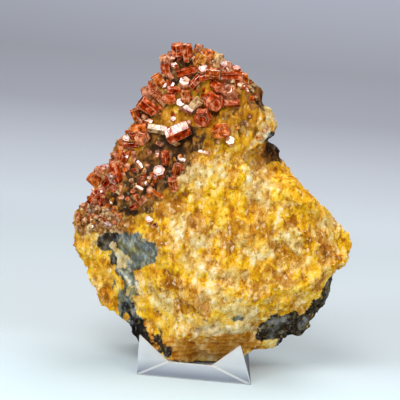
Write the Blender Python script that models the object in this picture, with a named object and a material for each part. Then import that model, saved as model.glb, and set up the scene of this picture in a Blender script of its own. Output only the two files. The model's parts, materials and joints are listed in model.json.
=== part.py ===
"""Vanadinite crystals on a broken lump of limonite-crusted rock, in a clear four-horned stand.

The front of the specimen faces -Y. The working meshes are in millimetres, with the stand's
centre on the floor at 0, 0, 0. At the end they are turned into metres, and the origin moves to
the middle of the whole object's footprint.
"""
import math
import random

import bmesh
import bpy
from mathutils import Matrix, Vector, noise
from mathutils.bvhtree import BVHTree

MM = 0.001
CONTACT_GAP = 0.3           # between two pieces that touch

# ---- the stand -------------------------------------------------------------------------------
STAND_HALF = 14.0           # half the width of a stock 28 mm stand, over its base
STAND_WALL = 1.0
HORN_OUT = 10.6             # a horn's tip, out from the middle along X and along Y
HORN_HEIGHT = 8.9
NOTCH_HALF = 5.5            # half the straight edge between two horns
NOTCH_OUT = 11.5            # how far out that edge lies
NOTCH_HEIGHT = 3.3
DISH_SIZE = 0.5             # the dish's flat floor against its rim
DISH_HEIGHT = 1.3
SKIRT = 5.0                 # how far the walls run on below the floor before they are cut level

# ---- the rock --------------------------------------------------------------------------------
FOOT_HEIGHT = 1.7           # the rock's flat foot, above the floor

# The rock's outline at its thickest, seen from the front, as (x, z), clockwise from the top left
ROCK_OUTLINE = [
    (-13.5, 77.0), (-9.5, 79.0), (-3.5, 78.0), (2.0, 75.5), (6.5, 73.0), (9.5, 70.0),
    (10.5, 66.5), (13.0, 65.0), (14.5, 62.0), (13.0, 58.5), (16.0, 57.0), (18.0, 53.0),
    (21.5, 51.0), (29.5, 43.5), (33.0, 39.5), (35.5, 37.5), (36.5, 34.0), (35.0, 31.0),
    (32.5, 27.0), (32.0, 22.0), (30.5, 17.5), (28.5, 14.0), (26.5, 11.0), (24.0, 8.5),
    (18.0, 5.5), (13.0, 3.5), (8.0, -2.0), (-7.0, -2.0), (-12.0, 5.0), (-18.0, 8.5),
    (-23.0, 13.0), (-28.0, 17.0), (-31.0, 22.0), (-33.5, 27.5), (-33.5, 31.0), (-32.5, 36.0),
    (-30.0, 40.0), (-28.0, 44.5), (-25.5, 48.5), (-24.0, 53.0), (-21.0, 58.5), (-19.0, 64.0),
    (-17.5, 69.0), (-15.5, 73.0),
]
ROCK_HEART = (1.0, 36.0)    # where the outline shrinks to, towards the front and the back
# Each section of the rock, from front to back: its y, and its size against the outline
ROCK_SECTIONS = [(-14.5, 0.84), (-8.0, 0.965), (-2.0, 1.0), (5.0, 0.95), (12.0, 0.72)]

# The faces that the rock broke along: a point on each, and the direction that it faces
FRACTURES = [
    ((5.0, -12.8, 38.0), (0.06, -1.0, 0.10)),       # the broad crusted face
    ((-7.0, -12.0, 46.0), (-0.22, -0.95, 0.23)),    # the face that carries the crystals
    ((-13.7, -12.0, 36.6), (-0.40, -0.91, -0.13)),  # the left flank
    ((-6.0, -13.2, 10.5), (0.0, -0.82, -0.57)),     # the undercut above the foot
    ((14.0, -12.0, 18.0), (0.29, -0.79, -0.54)),    # the dark hollow flank, low on the right
    ((31.0, -9.0, 28.0), (0.75, -0.60, -0.25)),     # the narrow right edge
    ((9.0, -10.5, 68.0), (0.62, -0.70, 0.35)),      # the upper right corner
    ((0.0, 11.0, 40.0), (0.05, 1.0, 0.04)),         # the back
    ((-12.0, 10.5, 50.0), (-0.30, 0.92, 0.22)),
    ((16.0, 9.0, 40.0), (0.50, 0.82, 0.26)),
    ((4.0, 9.5, 11.0), (0.12, 0.86, -0.50)),
    ((-20.0, 8.0, 24.0), (-0.62, 0.74, -0.26)),
]
# What broke away under the slab at the upper right, as (x, z), and how deep it goes
LEDGE_OUTLINE = [(6.0, 54.0), (9.5, 56.0), (12.5, 59.5), (20.0, 62.0), (22.0, 50.0), (15.0, 50.5)]
LEDGE_BACK = -5.5
CLEAR_OF_ROCK = 40.0        # a distance, to the front or the back, that is well outside the rock

LUMP_SIZE = 9.0             # broad lumps and hollows
LUMP_HEIGHT = 1.3
KNOB_SIZE = 3.2             # the knobbly crust
KNOB_HEIGHT = 0.75
STEP_SIZE = 5.5             # broken steps, shorter from front to back, and slanted down to the right
STEP_HEIGHT = 0.9
STEP_DEPTH_SCALE = 1.4
STEP_SLANT = 0.5
ROCK_GRAIN = 1.1            # the working mesh's cell before it is weathered, and after
WEATHERED_GRAIN = 0.88
ROCK_TRIANGLES = 3900

# ---- the crystals ----------------------------------------------------------------------------
# Each is a hexagonal prism: x and z of its middle seen from the front, its width across corners
# and its length, then three angles: its axis's lean in the picture plane, anticlockwise from
# +X, how far the axis comes out towards the viewer, and its turn about the axis, where 0 shows
# a flat side to the upper front and 30 shows an edge. An axis that goes back, away from the
# viewer, is a crystal on the back.
UPPER_FRONT = (-0.10, -0.84, 0.53)
NEARLY_END_ON = 0.2         # the sine below which an axis counts as pointing to the upper front
CRYSTALS = {
    "crown": [
        (-11.0, 78.0, 3.2, 2.8, 100, 15, 20), (-8.5, 77.5, 2.7, 4.2, 100, 10, 30),
        (-6.0, 78.5, 2.2, 2.4, 85, 0, 10), (-5.0, 76.5, 3.5, 3.5, 65, 20, 30),
        (-3.5, 77.5, 2.5, 2.7, 75, 10, 30), (-1.0, 76.5, 2.2, 3.2, 80, 10, 30),
        (1.0, 75.0, 2.5, 2.7, 90, 5, 15), (-12.5, 76.0, 2.5, 2.5, 80, 58, 0),
        (-14.0, 75.0, 2.5, 2.7, 105, 15, 25), (-13.5, 73.0, 2.5, 3.2, 105, 10, 25),
        (-15.0, 70.5, 2.7, 2.7, 125, 15, 25),
    ],
    "shelf": [
        (-8.0, 73.0, 2.5, 5.4, 20, 0, 20), (-4.5, 74.0, 2.2, 2.5, 85, 20, 0),
        (-2.0, 73.5, 3.0, 3.5, 0, 10, 28), (-3.0, 72.5, 1.8, 4.4, 13, 0, 30),
        (2.5, 73.0, 2.5, 4.9, 5, 0, 25), (5.5, 72.5, 2.0, 2.7, 95, 15, 30),
        (-6.0, 71.0, 2.2, 3.5, 53, 0, 30), (-8.5, 69.5, 2.7, 3.5, 100, 25, 0),
        (-8.0, 67.5, 2.5, 3.0, 90, 5, 25), (-11.0, 68.5, 2.0, 3.2, 180, 10, 25),
        (-11.5, 66.5, 2.7, 3.0, 15, 20, 25), (-14.5, 66.5, 2.5, 3.7, 140, 10, 25),
    ],
    "left_edge": [
        (-17.5, 67.0, 2.7, 3.0, 115, 10, 30), (-17.0, 64.0, 3.5, 4.4, 145, 10, 25),
        (-19.5, 61.5, 2.7, 3.0, 115, 10, 20), (-18.5, 58.5, 2.5, 3.9, 15, 10, 25),
        (-17.5, 56.5, 3.5, 2.5, 205, 72, 10), (-14.0, 59.0, 2.5, 4.7, -3, 10, 8),
        (-21.5, 55.5, 2.0, 2.0, 85, 58, 0), (-20.0, 54.5, 1.8, 3.7, 10, 0, 25),
        (-22.5, 52.0, 2.0, 3.7, 95, 5, 20), (-24.0, 51.0, 2.0, 2.2, 115, 10, 20),
        (-23.0, 48.0, 2.7, 5.2, 110, 5, 25), (-24.0, 46.5, 2.0, 2.2, 75, 30, 10),
        (-27.0, 47.0, 2.5, 3.2, 155, 25, 0), (-25.0, 45.5, 2.2, 2.5, 65, 10, 25),
        (-28.0, 44.5, 3.5, 3.9, 135, 20, 15), (-28.0, 41.0, 2.5, 3.2, 65, 20, 0),
        (-26.0, 41.0, 2.2, 3.0, 85, 10, 30),
    ],
    "face": [
        (-1.5, 67.0, 4.7, 3.7, -25, 60, 10), (-3.5, 63.0, 4.7, 2.7, 255, 72, 5),
        (-1.0, 70.5, 3.0, 2.7, -25, 50, 10), (2.5, 69.0, 4.2, 3.5, 125, 45, 15),
        (3.0, 67.0, 2.2, 3.7, 10, 0, 25), (-5.5, 66.0, 2.5, 3.0, 50, 20, 15),
        (-9.0, 65.5, 2.2, 2.0, 100, 58, 15), (-7.0, 64.5, 2.0, 2.7, -20, 20, 10),
        (1.0, 60.5, 3.9, 3.2, 25, 50, 0), (-9.0, 59.0, 4.4, 5.9, 30, 5, 0),
        (3.5, 58.0, 2.2, 2.5, 105, 60, 10), (-11.5, 52.5, 2.5, 3.2, 100, 20, 30),
        (-12.5, 49.0, 3.0, 3.0, 105, 55, 0), (-8.5, 50.0, 2.5, 3.2, 85, 20, 30),
        (-9.0, 47.0, 2.5, 3.2, 105, 30, 20),
    ],
    "back": [
        (-10.5, 73.5, 3.2, 3.6, 80, -45, 10), (-7.0, 74.5, 2.6, 3.2, 60, -30, 20),
        (-13.5, 70.0, 2.8, 3.4, 120, -50, 0), (-9.5, 69.0, 2.4, 3.8, 150, -10, 30),
        (-15.0, 64.5, 3.4, 3.0, 130, -60, 15), (-17.5, 59.5, 2.6, 3.4, 160, -25, 5),
        (-20.0, 53.5, 3.0, 3.6, 110, -40, 20), (-23.5, 47.5, 2.4, 3.0, 140, -35, 10),
    ],
}
# The same, for crystals small enough to be part of the rock's own surface
SMALL_CRYSTALS = [
    (-11.5, 74.0, 1.7, 1.7, 95, 58, 0), (0.5, 72.0, 1.5, 1.5, 90, 58, 0),
    (-13.5, 69.0, 1.7, 1.7, 100, 58, 0), (-16.5, 69.0, 1.7, 2.0, 105, 10, 20),
    (1.0, 71.0, 1.7, 1.7, 95, 30, 20), (-10.5, 61.5, 1.5, 1.5, 95, 58, 10),
    (-6.5, 61.0, 1.2, 2.0, 115, 50, 0), (-16.5, 60.5, 1.7, 2.5, -15, 20, 0),
    (-22.5, 54.5, 1.7, 1.7, 125, 10, 25), (-20.5, 52.5, 1.7, 1.7, 105, 30, 20),
    (-25.5, 49.5, 1.4, 1.6, 95, 20, 10), (-24.0, 44.0, 1.2, 2.0, 25, 20, 0),
    (-26.5, 43.0, 1.7, 2.0, 90, 35, 0), (-23.0, 43.5, 1.2, 1.7, 65, 20, 0),
    (-21.5, 44.0, 0.8, 2.0, 90, 20, 0), (-23.5, 41.0, 1.2, 2.7, 65, 10, 15),
    (-24.5, 39.5, 1.2, 1.5, 65, 20, 20), (-19.0, 51.5, 1.5, 3.5, 97, 10, 20),
    (-17.5, 50.0, 1.5, 2.2, -40, 20, 0), (-20.5, 49.0, 1.5, 1.7, 95, 30, 20),
    (-19.0, 48.5, 1.2, 1.7, 15, 10, 20), (-15.5, 53.0, 1.2, 1.2, 95, 40, 10),
    (-7.5, 52.5, 1.5, 2.0, -15, 20, 10), (-2.5, 55.0, 1.2, 2.7, -5, 20, 15),
    (0.5, 57.5, 1.0, 1.2, 95, 50, 10), (-16.5, 46.5, 2.0, 2.2, 95, 30, 20),
    (-17.0, 45.0, 1.0, 2.0, -20, 20, 0), (-18.5, 44.0, 1.5, 1.5, 95, 70, 10),
    (-17.5, 42.5, 1.7, 2.2, 115, 20, 15), (-16.0, 42.0, 1.7, 2.0, 65, 20, 15),
    (-18.0, 40.5, 1.5, 1.7, 35, 20, 15), (-14.5, 44.5, 1.7, 1.7, 95, 70, 10),
    (-12.5, 44.0, 1.2, 3.2, -25, 15, 15), (-24.0, 37.0, 1.7, 2.2, 95, 40, 10),
    (-23.0, 38.5, 1.7, 2.0, 65, 40, 20), (-21.0, 37.5, 1.5, 2.0, 125, 30, 20),
    (-22.5, 35.5, 1.5, 1.7, 35, 30, 20), (-14.0, 37.5, 2.2, 2.2, 95, 60, 20),
    (-12.5, 36.5, 1.5, 1.7, 35, 30, 20), (-28.5, 37.5, 1.7, 1.7, 105, 50, 0),
    (-31.0, 37.5, 1.5, 1.7, 115, 20, 0), (-27.0, 36.0, 1.2, 1.5, 65, 50, 0),
    (-25.5, 35.0, 1.2, 1.5, 85, 30, 10), (-30.0, 34.5, 1.6, 1.8, 70, 50, 10),
    (-28.0, 33.5, 1.3, 1.6, 120, 60, 20), (-31.5, 32.5, 1.4, 1.6, 150, 20, 10),
]
EDGE_REACH = 0.42           # how far off the rock's edge a crystal's middle may lie, by its width
EDGE_DEPTH = 3.0            # how far forward, or back, the edge is looked for
SPLINTER = 0.5              # the volume below which what a cut leaves is dropped
PROUD = 0.22                # how far a crystal's middle stands out from the rock, by its width
SINK = 0.35                 # how much further in a small crystal sits, by its width

# Druse: crystals too small to place one by one. Each patch: x, z, its radius, and how many
DRUSE = [(-28.0, 34.5, 4.5, 9), (-22.0, 39.5, 4.5, 6), (-17.0, 48.0, 5.0, 6),
         (-13.0, 55.5, 3.5, 4), (9.0, 61.0, 3.0, 4)]
DRUSE_ACROSS = (0.8, 1.5)
DRUSE_SEED = 11

# ---- finishes: base colour, roughness, alpha -------------------------------------------------
LIMONITE_ROCK = ((0.62, 0.44, 0.16), 0.85, 1.0)
VANADINITE = ((0.62, 0.16, 0.07), 0.2, 1.0)
CLEAR_ACRYLIC = ((0.86, 0.89, 0.92), 0.3, 0.45)


# ---- making and cutting meshes ---------------------------------------------------------------
def new_object(name, bm):
    mesh = bpy.data.meshes.new(name)
    bm.to_mesh(mesh)
    bm.free()
    obj = bpy.data.objects.new(name, mesh)
    bpy.context.collection.objects.link(obj)
    return obj


def apply_modifier(obj, kind, **settings):
    modifier = obj.modifiers.new(kind.title(), kind)
    for key, value in settings.items():
        setattr(modifier, key, value)
    evaluated = obj.evaluated_get(bpy.context.evaluated_depsgraph_get())
    mesh = bpy.data.meshes.new_from_object(evaluated)
    obj.modifiers.clear()
    old = obj.data
    obj.data = mesh
    bpy.data.meshes.remove(old)


def combine(obj, other, operation):
    """A Boolean of obj with other, which it uses up."""
    apply_modifier(obj, "BOOLEAN", operation=operation, object=other)
    bpy.data.objects.remove(other)


def cut_plane(bm, point, normal):
    geometry = bm.verts[:] + bm.edges[:] + bm.faces[:]
    cut = bmesh.ops.bisect_plane(
        bm, geom=geometry, plane_co=point, plane_no=normal, clear_outer=True)
    edges = [item for item in cut["geom_cut"] if isinstance(item, bmesh.types.BMEdge)]
    bmesh.ops.holes_fill(bm, edges=edges)


def bridge(bm, ring_a, ring_b):
    count = len(ring_a)
    for i in range(count):
        j = (i + 1) % count
        bm.faces.new((ring_a[i], ring_a[j], ring_b[j], ring_b[i]))


def lofted(rings):
    """A closed solid through rings of points, all of one count."""
    bm = bmesh.new()
    rings = [[bm.verts.new(point) for point in ring] for ring in rings]
    for ring_a, ring_b in zip(rings, rings[1:]):
        bridge(bm, ring_a, ring_b)
    bm.faces.new(rings[0])
    bm.faces.new(rings[-1])
    bmesh.ops.recalc_face_normals(bm, faces=bm.faces[:])
    return bm


def cut_level(obj, height):
    """Cuts away what lies below a height."""
    bm = bmesh.new()
    size = 2 * CLEAR_OF_ROCK
    middle = Matrix.Translation((0.0, 0.0, height - size / 2))
    bmesh.ops.create_cube(bm, size=size, matrix=middle)
    combine(obj, new_object("below", bm), "DIFFERENCE")


def grown(bm, distance):
    """Moves every face of a mesh out by a distance."""
    bm.normal_update()
    moves = [v.normal * (distance * v.calc_shell_factor()) for v in bm.verts]
    for vertex, move in zip(bm.verts, moves):
        vertex.co += move
    return bm


# ---- the stand -------------------------------------------------------------------------------
def stand_body():
    """The stand's outer form, filled in, with its walls run on below the floor."""
    bm = bmesh.new()
    spread = STAND_HALF + SKIRT * (STAND_HALF - NOTCH_OUT) / NOTCH_HEIGHT
    skirt, base, horns, notches, dish = [], [], [], [], []
    for quarter in range(4):
        turn = Matrix.Rotation(math.radians(90 * quarter), 3, "Z")
        skirt.append(bm.verts.new(turn @ Vector((spread, -spread, -SKIRT))))
        base.append(bm.verts.new(turn @ Vector((STAND_HALF, -STAND_HALF, 0.0))))
        horns.append(bm.verts.new(turn @ Vector((HORN_OUT, -HORN_OUT, HORN_HEIGHT))))
        for x, y in ((NOTCH_HALF, -NOTCH_OUT), (NOTCH_OUT, -NOTCH_HALF)):
            notches.append(bm.verts.new(turn @ Vector((x, y, NOTCH_HEIGHT))))
            dish.append(bm.verts.new(turn @ Vector((x * DISH_SIZE, y * DISH_SIZE, DISH_HEIGHT))))
    bridge(bm, skirt, base)
    for i in range(4):
        near, far, following = notches[2 * i], notches[2 * i + 1], notches[(2 * i + 2) % 8]
        bm.faces.new((base[i], near, horns[i]))
        bm.faces.new((base[i], horns[i], far))
        bm.faces.new((near, far, horns[i]))
        bm.faces.new((base[i], far, following, base[(i + 1) % 4]))
    bridge(bm, notches, dish)
    bm.faces.new(dish)
    bm.faces.new(skirt)
    bmesh.ops.recalc_face_normals(bm, faces=bm.faces[:])
    return bm


def make_stand():
    stand = new_object("display_stand", stand_body())
    hollow = grown(stand_body(), -STAND_WALL)
    for vertex in hollow.verts:
        if vertex.co.z < -STAND_WALL:
            vertex.co.z -= SKIRT
    combine(stand, new_object("stand_hollow", hollow), "DIFFERENCE")
    cut_level(stand, 0.0)
    return stand


# ---- the rock --------------------------------------------------------------------------------
def relief(point):
    """How far the weathered surface stands out from the broken faces at a place."""
    lumps = noise.fractal(point / LUMP_SIZE, 1.0, 2.0, 2) * LUMP_HEIGHT
    nearest = noise.voronoi(point / KNOB_SIZE)[0]
    knobs = (0.5 - nearest[0]) * KNOB_HEIGHT
    slanted = Vector((point.x, point.y * STEP_DEPTH_SCALE, point.z + STEP_SLANT * point.x))
    steps = (noise.cell(slanted / STEP_SIZE) - 0.5) * STEP_HEIGHT
    return lumps + knobs + steps


def broken_block():
    """The rock as its fracture faces leave it, before weathering."""
    heart_x, heart_z = ROCK_HEART
    rings = [[(heart_x + (x - heart_x) * size, y, heart_z + (z - heart_z) * size)
              for x, z in ROCK_OUTLINE] for y, size in ROCK_SECTIONS]
    bm = lofted(rings)
    for point, normal in FRACTURES:
        cut_plane(bm, point, normal)
    bmesh.ops.triangulate(bm, faces=bm.faces[:])
    return new_object("matrix", bm)


def make_rock():
    rock = broken_block()
    ledge = lofted([[(x, y, z) for x, z in LEDGE_OUTLINE] for y in (-CLEAR_OF_ROCK, LEDGE_BACK)])
    combine(rock, new_object("ledge", ledge), "DIFFERENCE")
    apply_modifier(rock, "REMESH", mode="VOXEL", voxel_size=ROCK_GRAIN)
    weathered = [v.co + v.normal * relief(v.co) for v in rock.data.vertices]
    for vertex, place in zip(rock.data.vertices, weathered):
        vertex.co = place
    apply_modifier(rock, "REMESH", mode="VOXEL", voxel_size=WEATHERED_GRAIN)
    count = sum(len(face.vertices) - 2 for face in rock.data.polygons)
    apply_modifier(rock, "DECIMATE", ratio=ROCK_TRIANGLES / count)
    cut_level(rock, FOOT_HEIGHT)
    combine(rock, new_object("stand_room", grown(stand_body(), CONTACT_GAP)), "DIFFERENCE")
    return rock


# ---- the crystals ----------------------------------------------------------------------------
def crystal_axis(lean, out):
    lean, out = math.radians(lean), math.radians(out)
    return Vector((math.cos(out) * math.cos(lean), -math.sin(out), math.cos(out) * math.sin(lean)))


def seat(tree, x, z, side, reach):
    """Where the rock's face lies at x and z, or a place up to reach off its nearest edge.

    side is -1 for the front and 1 for the back.
    """
    hit = tree.ray_cast(Vector((x, side * CLEAR_OF_ROCK, z)), Vector((0.0, -side, 0.0)))[0]
    if hit is None:
        hit = tree.find_nearest(Vector((x, side * EDGE_DEPTH, z)))[0]
        off = Vector((x - hit.x, 0.0, z - hit.z))
        hit += off * min(1.0, reach / off.length)
    return hit


def crystal(tree, row, spare=0.0, sink=0.0):
    """A prism of one of the lists' rows, larger all round by spare."""
    x, z, across, length, lean, out, spin = row
    axis = crystal_axis(lean, out)
    side = 1 if out < 0 else -1
    middle = seat(tree, x, z, side, EDGE_REACH * across)
    middle.y += side * (PROUD - sink) * across
    flat = Vector(UPPER_FRONT)
    flat -= axis * flat.dot(axis)
    if flat.length < NEARLY_END_ON:
        flat = axis.orthogonal()
    flat = Matrix.Rotation(math.radians(spin), 3, axis) @ flat.normalized()
    frame = Matrix((flat, axis.cross(flat), axis)).transposed().to_4x4()
    bm = bmesh.new()
    bmesh.ops.create_cone(
        bm, cap_ends=True, segments=6, radius1=across / 2 + spare, radius2=across / 2 + spare,
        depth=length + 2 * spare, matrix=Matrix.Translation(middle) @ frame)
    return new_object("crystal", bm)


def druse_rows():
    draw = random.Random(DRUSE_SEED)
    rows = []
    for x, z, radius, count in DRUSE:
        for _ in range(count):
            turn, reach = draw.uniform(0.0, math.tau), radius * math.sqrt(draw.random())
            across = draw.uniform(*DRUSE_ACROSS)
            rows.append((x + reach * math.cos(turn), z + reach * math.sin(turn), across,
                         across * draw.uniform(1.0, 1.5), draw.uniform(0.0, 360.0),
                         draw.uniform(20.0, 70.0), draw.uniform(0.0, 60.0)))
    return rows


def loose_bodies(obj):
    """Parts obj into one object for each of its bodies, and uses it up."""
    bm = bmesh.new()
    bm.from_mesh(obj.data)
    left = set(bm.faces)
    bodies = []
    while left:
        found, queue = set(), [left.pop()]
        while queue:
            face = queue.pop()
            found.add(face)
            for edge in face.edges:
                for neighbour in edge.link_faces:
                    if neighbour in left:
                        left.discard(neighbour)
                        queue.append(neighbour)
        body = bm.copy()
        keep = {face.index for face in found}
        body.faces.ensure_lookup_table()
        unwanted = [face for face in body.faces if face.index not in keep]
        bmesh.ops.delete(body, geom=unwanted, context="FACES")
        bodies.append(new_object("body", body))
    bm.free()
    bpy.data.objects.remove(obj)
    return bodies


def surface_tree(obj):
    bm = bmesh.new()
    bm.from_mesh(obj.data)
    tree = BVHTree.FromBMesh(bm)
    bm.free()
    return tree


def kept(body):
    """Removes a body that is only a splinter left by a cut."""
    bm = bmesh.new()
    bm.from_mesh(body.data)
    enough = bm.calc_volume() > SPLINTER
    bm.free()
    if not enough:
        bpy.data.objects.remove(body)
    return enough


def finish(obj, look):
    """Gives an object a material of its own."""
    colour, roughness, alpha = look
    material = bpy.data.materials.new(obj.name)
    material.use_nodes = True
    surface = material.node_tree.nodes["Principled BSDF"]
    surface.inputs["Base Color"].default_value = (*colour, 1.0)
    surface.inputs["Roughness"].default_value = roughness
    surface.inputs["Metallic"].default_value = 0.0
    surface.inputs["Alpha"].default_value = alpha
    obj.data.materials.clear()
    obj.data.materials.append(material)


def assemble(objects):
    """Turns the meshes into metres, and hangs them on an empty that centres the whole."""
    corners = [v.co for obj in objects for v in obj.data.vertices]
    lowest = [min(corner[i] for corner in corners) for i in range(3)]
    highest = [max(corner[i] for corner in corners) for i in range(3)]
    specimen = bpy.data.objects.new("specimen", None)
    bpy.context.collection.objects.link(specimen)
    specimen.location = (-(lowest[0] + highest[0]) / 2 * MM, -(lowest[1] + highest[1]) / 2 * MM, 0.0)
    for obj in objects:
        obj.data.transform(Matrix.Scale(MM, 4))
        obj.parent = specimen


def main():
    for obj in list(bpy.data.objects):
        bpy.data.objects.remove(obj)
    stand = make_stand()
    rock = make_rock()
    tree = surface_tree(rock)
    room = bmesh.new()
    room.from_mesh(rock.data)
    room = new_object("rock_room", grown(room, CONTACT_GAP))
    crystals = None
    for rows in CRYSTALS.values():
        for row in rows:
            solid = crystal(tree, row)
            if crystals is None:
                crystals = solid
            else:
                combine(crystals, solid, "UNION")
    combine(crystals, room, "DIFFERENCE")
    for row in SMALL_CRYSTALS + druse_rows():
        combine(crystals, crystal(tree, row, spare=CONTACT_GAP, sink=SINK), "DIFFERENCE")
        combine(rock, crystal(tree, row, sink=SINK), "UNION")
    bodies = [body for body in loose_bodies(crystals) if kept(body)]
    bodies.sort(key=lambda body: -max(v.co.z for v in body.data.vertices))
    for number, body in enumerate(bodies, 1):
        body.name = f"vanadinite_{number:02d}"
        finish(body, VANADINITE)
    finish(rock, LIMONITE_ROCK)
    finish(stand, CLEAR_ACRYLIC)
    assemble([stand, rock] + bodies)


main()
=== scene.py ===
"""Vanadinite crystals on a broken rock with a limonite crust, in a frosted four-horned stand.

Pieces are modelled in millimetres, with the stand's centre on the floor at 0, 0, 0 and the
specimen's front towards -Y. hand_over() then turns each into metres and moves it to the frame.
"""

import json
import math
import random

import bpy
import numpy as np
from mathutils import Matrix, Vector, noise
from mathutils.bvhtree import BVHTree

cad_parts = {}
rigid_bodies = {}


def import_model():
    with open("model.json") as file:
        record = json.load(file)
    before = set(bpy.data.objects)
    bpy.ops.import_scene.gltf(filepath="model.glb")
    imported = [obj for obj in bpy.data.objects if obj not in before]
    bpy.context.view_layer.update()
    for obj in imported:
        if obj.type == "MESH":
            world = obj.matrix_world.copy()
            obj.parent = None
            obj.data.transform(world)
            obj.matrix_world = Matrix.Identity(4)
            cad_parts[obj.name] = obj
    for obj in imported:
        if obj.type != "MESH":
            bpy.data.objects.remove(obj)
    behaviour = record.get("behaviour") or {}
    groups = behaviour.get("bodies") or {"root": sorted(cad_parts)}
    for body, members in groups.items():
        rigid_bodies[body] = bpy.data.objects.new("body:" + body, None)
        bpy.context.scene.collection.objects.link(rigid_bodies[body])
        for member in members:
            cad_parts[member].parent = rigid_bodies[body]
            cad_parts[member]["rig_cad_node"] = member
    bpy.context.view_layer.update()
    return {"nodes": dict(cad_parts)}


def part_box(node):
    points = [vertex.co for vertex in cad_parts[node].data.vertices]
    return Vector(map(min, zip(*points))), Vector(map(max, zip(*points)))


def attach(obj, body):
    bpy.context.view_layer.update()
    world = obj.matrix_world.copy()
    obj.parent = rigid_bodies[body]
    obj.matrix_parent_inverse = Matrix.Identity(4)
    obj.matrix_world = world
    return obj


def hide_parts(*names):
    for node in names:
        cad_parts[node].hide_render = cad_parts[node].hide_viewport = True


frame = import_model()
bpy.ops.object.select_all(action="DESELECT")

MM = 0.001
STAND_CENTRE = (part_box("display_stand")[0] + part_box("display_stand")[1]) / 2
STAND_CENTRE.z = 0.0

# ---- the rock, as it broke -------------------------------------------------------------------
FOOT_HEIGHT = 1.7           # the rock's flat foot, above the floor

# The rock's outline at its thickest, seen from the front, as (x, z), clockwise from the top left
ROCK_OUTLINE = [
    (-13.5, 77.0), (-9.5, 79.0), (-3.5, 78.0), (2.0, 75.5), (6.5, 73.0), (9.5, 70.0),
    (10.5, 66.5), (13.0, 65.0), (14.5, 62.0), (13.0, 58.5), (16.0, 57.0), (17.0, 52.8),
    (21.0, 50.3), (29.2, 43.1), (33.0, 39.5), (35.5, 37.5), (36.5, 34.0), (35.0, 31.0),
    (32.5, 27.0), (32.0, 22.0), (30.5, 17.5), (28.5, 14.0), (26.5, 11.0), (24.0, 8.5),
    (18.0, 5.5), (13.0, 3.5), (8.0, -2.0), (-6.5, -2.0), (-12.0, 4.6), (-18.6, 8.1),
    (-23.7, 12.8), (-28.0, 17.0), (-31.0, 22.0), (-33.5, 27.5), (-33.5, 31.0), (-32.5, 36.0),
    (-30.0, 40.0), (-28.0, 44.5), (-25.5, 48.5), (-24.0, 53.0), (-21.0, 58.5), (-19.0, 64.0),
    (-17.5, 69.0), (-15.5, 73.0),
]
ROCK_HEART = (1.0, 36.0)    # where the outline shrinks to, towards the front and the back
# Each section of the rock, from front to back: its y, and its size against the outline
ROCK_SECTIONS = [(-14.5, 0.84), (-8.0, 0.965), (-2.0, 1.0), (5.0, 0.95), (12.0, 0.72)]

# The faces that the rock broke along: a point on each, and the direction that it faces
FRACTURES = [
    ((5.0, -12.8, 38.0), (0.06, -1.0, 0.10)),       # the broad crusted face
    ((-7.0, -12.0, 46.0), (-0.22, -0.95, 0.23)),    # the face that carries the crystals
    ((-13.7, -12.0, 36.6), (-0.40, -0.91, -0.13)),  # the left flank
    ((-6.0, -13.2, 10.5), (0.0, -0.82, -0.57)),     # the undercut above the foot
    ((14.0, -12.0, 18.0), (0.29, -0.79, -0.54)),    # the dark hollow flank, low on the right
    ((31.0, -9.0, 28.0), (0.75, -0.60, -0.25)),     # the narrow right edge
    ((9.0, -10.5, 68.0), (0.62, -0.70, 0.35)),      # the upper right corner
    ((0.0, 11.0, 40.0), (0.05, 1.0, 0.04)),         # the back
    ((-12.0, 10.5, 50.0), (-0.30, 0.92, 0.22)),
    ((16.0, 9.0, 40.0), (0.50, 0.82, 0.26)),
    ((4.0, 9.5, 11.0), (0.12, 0.86, -0.50)),
    ((-20.0, 8.0, 24.0), (-0.62, 0.74, -0.26)),
]
# What broke away under the slab at the upper right, as (x, z), and how deep it goes
LEDGE_OUTLINE = [(6.0, 54.0), (9.5, 56.0), (12.5, 59.5), (20.0, 62.0), (22.0, 50.0), (15.0, 50.5)]
LEDGE_BACK = -5.5
CLEAR_OF_ROCK = 40.0        # a distance, to the front or the back, that is well outside the rock

LUMP_SIZE = 9.0             # broad lumps and hollows
LUMP_HEIGHT = 1.3
KNOB_SIZE = 3.2             # the knobbly crust
KNOB_HEIGHT = 0.75
STEP_SIZE = 5.5             # broken steps, shorter from front to back, and slanted down to the right
STEP_HEIGHT = 0.9
STEP_DEPTH_SCALE = 1.4
STEP_SLANT = 0.5
BLOCK_CELL = 0.8            # the mesh's cell before it is weathered, and after
ROCK_CELL = 0.4
ROUNDED_TO = 3              # decimals of a millimetre

HACKLY_SIZE = 2.2           # the sharp breaks of the dark stone
HACKLY_HEIGHT = 0.45
SUGAR_SIZE = 1.15           # the sugary grain of the crust
SUGAR_HEIGHT = 0.38
PIT_SIZE = 2.4              # where the crust is eaten away
PIT_LEVEL = 0.15
PIT_DEPTH = 1.1
BED_SIZE = 1.3              # the thin beds that the undercut shows
BED_HEIGHT = 0.12
STONE_SEED = 1              # without one, noise_vector is drawn anew in each run
WARP_SIZE = 3.0             # how the borders between stones wander
WARP = 1.6

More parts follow.
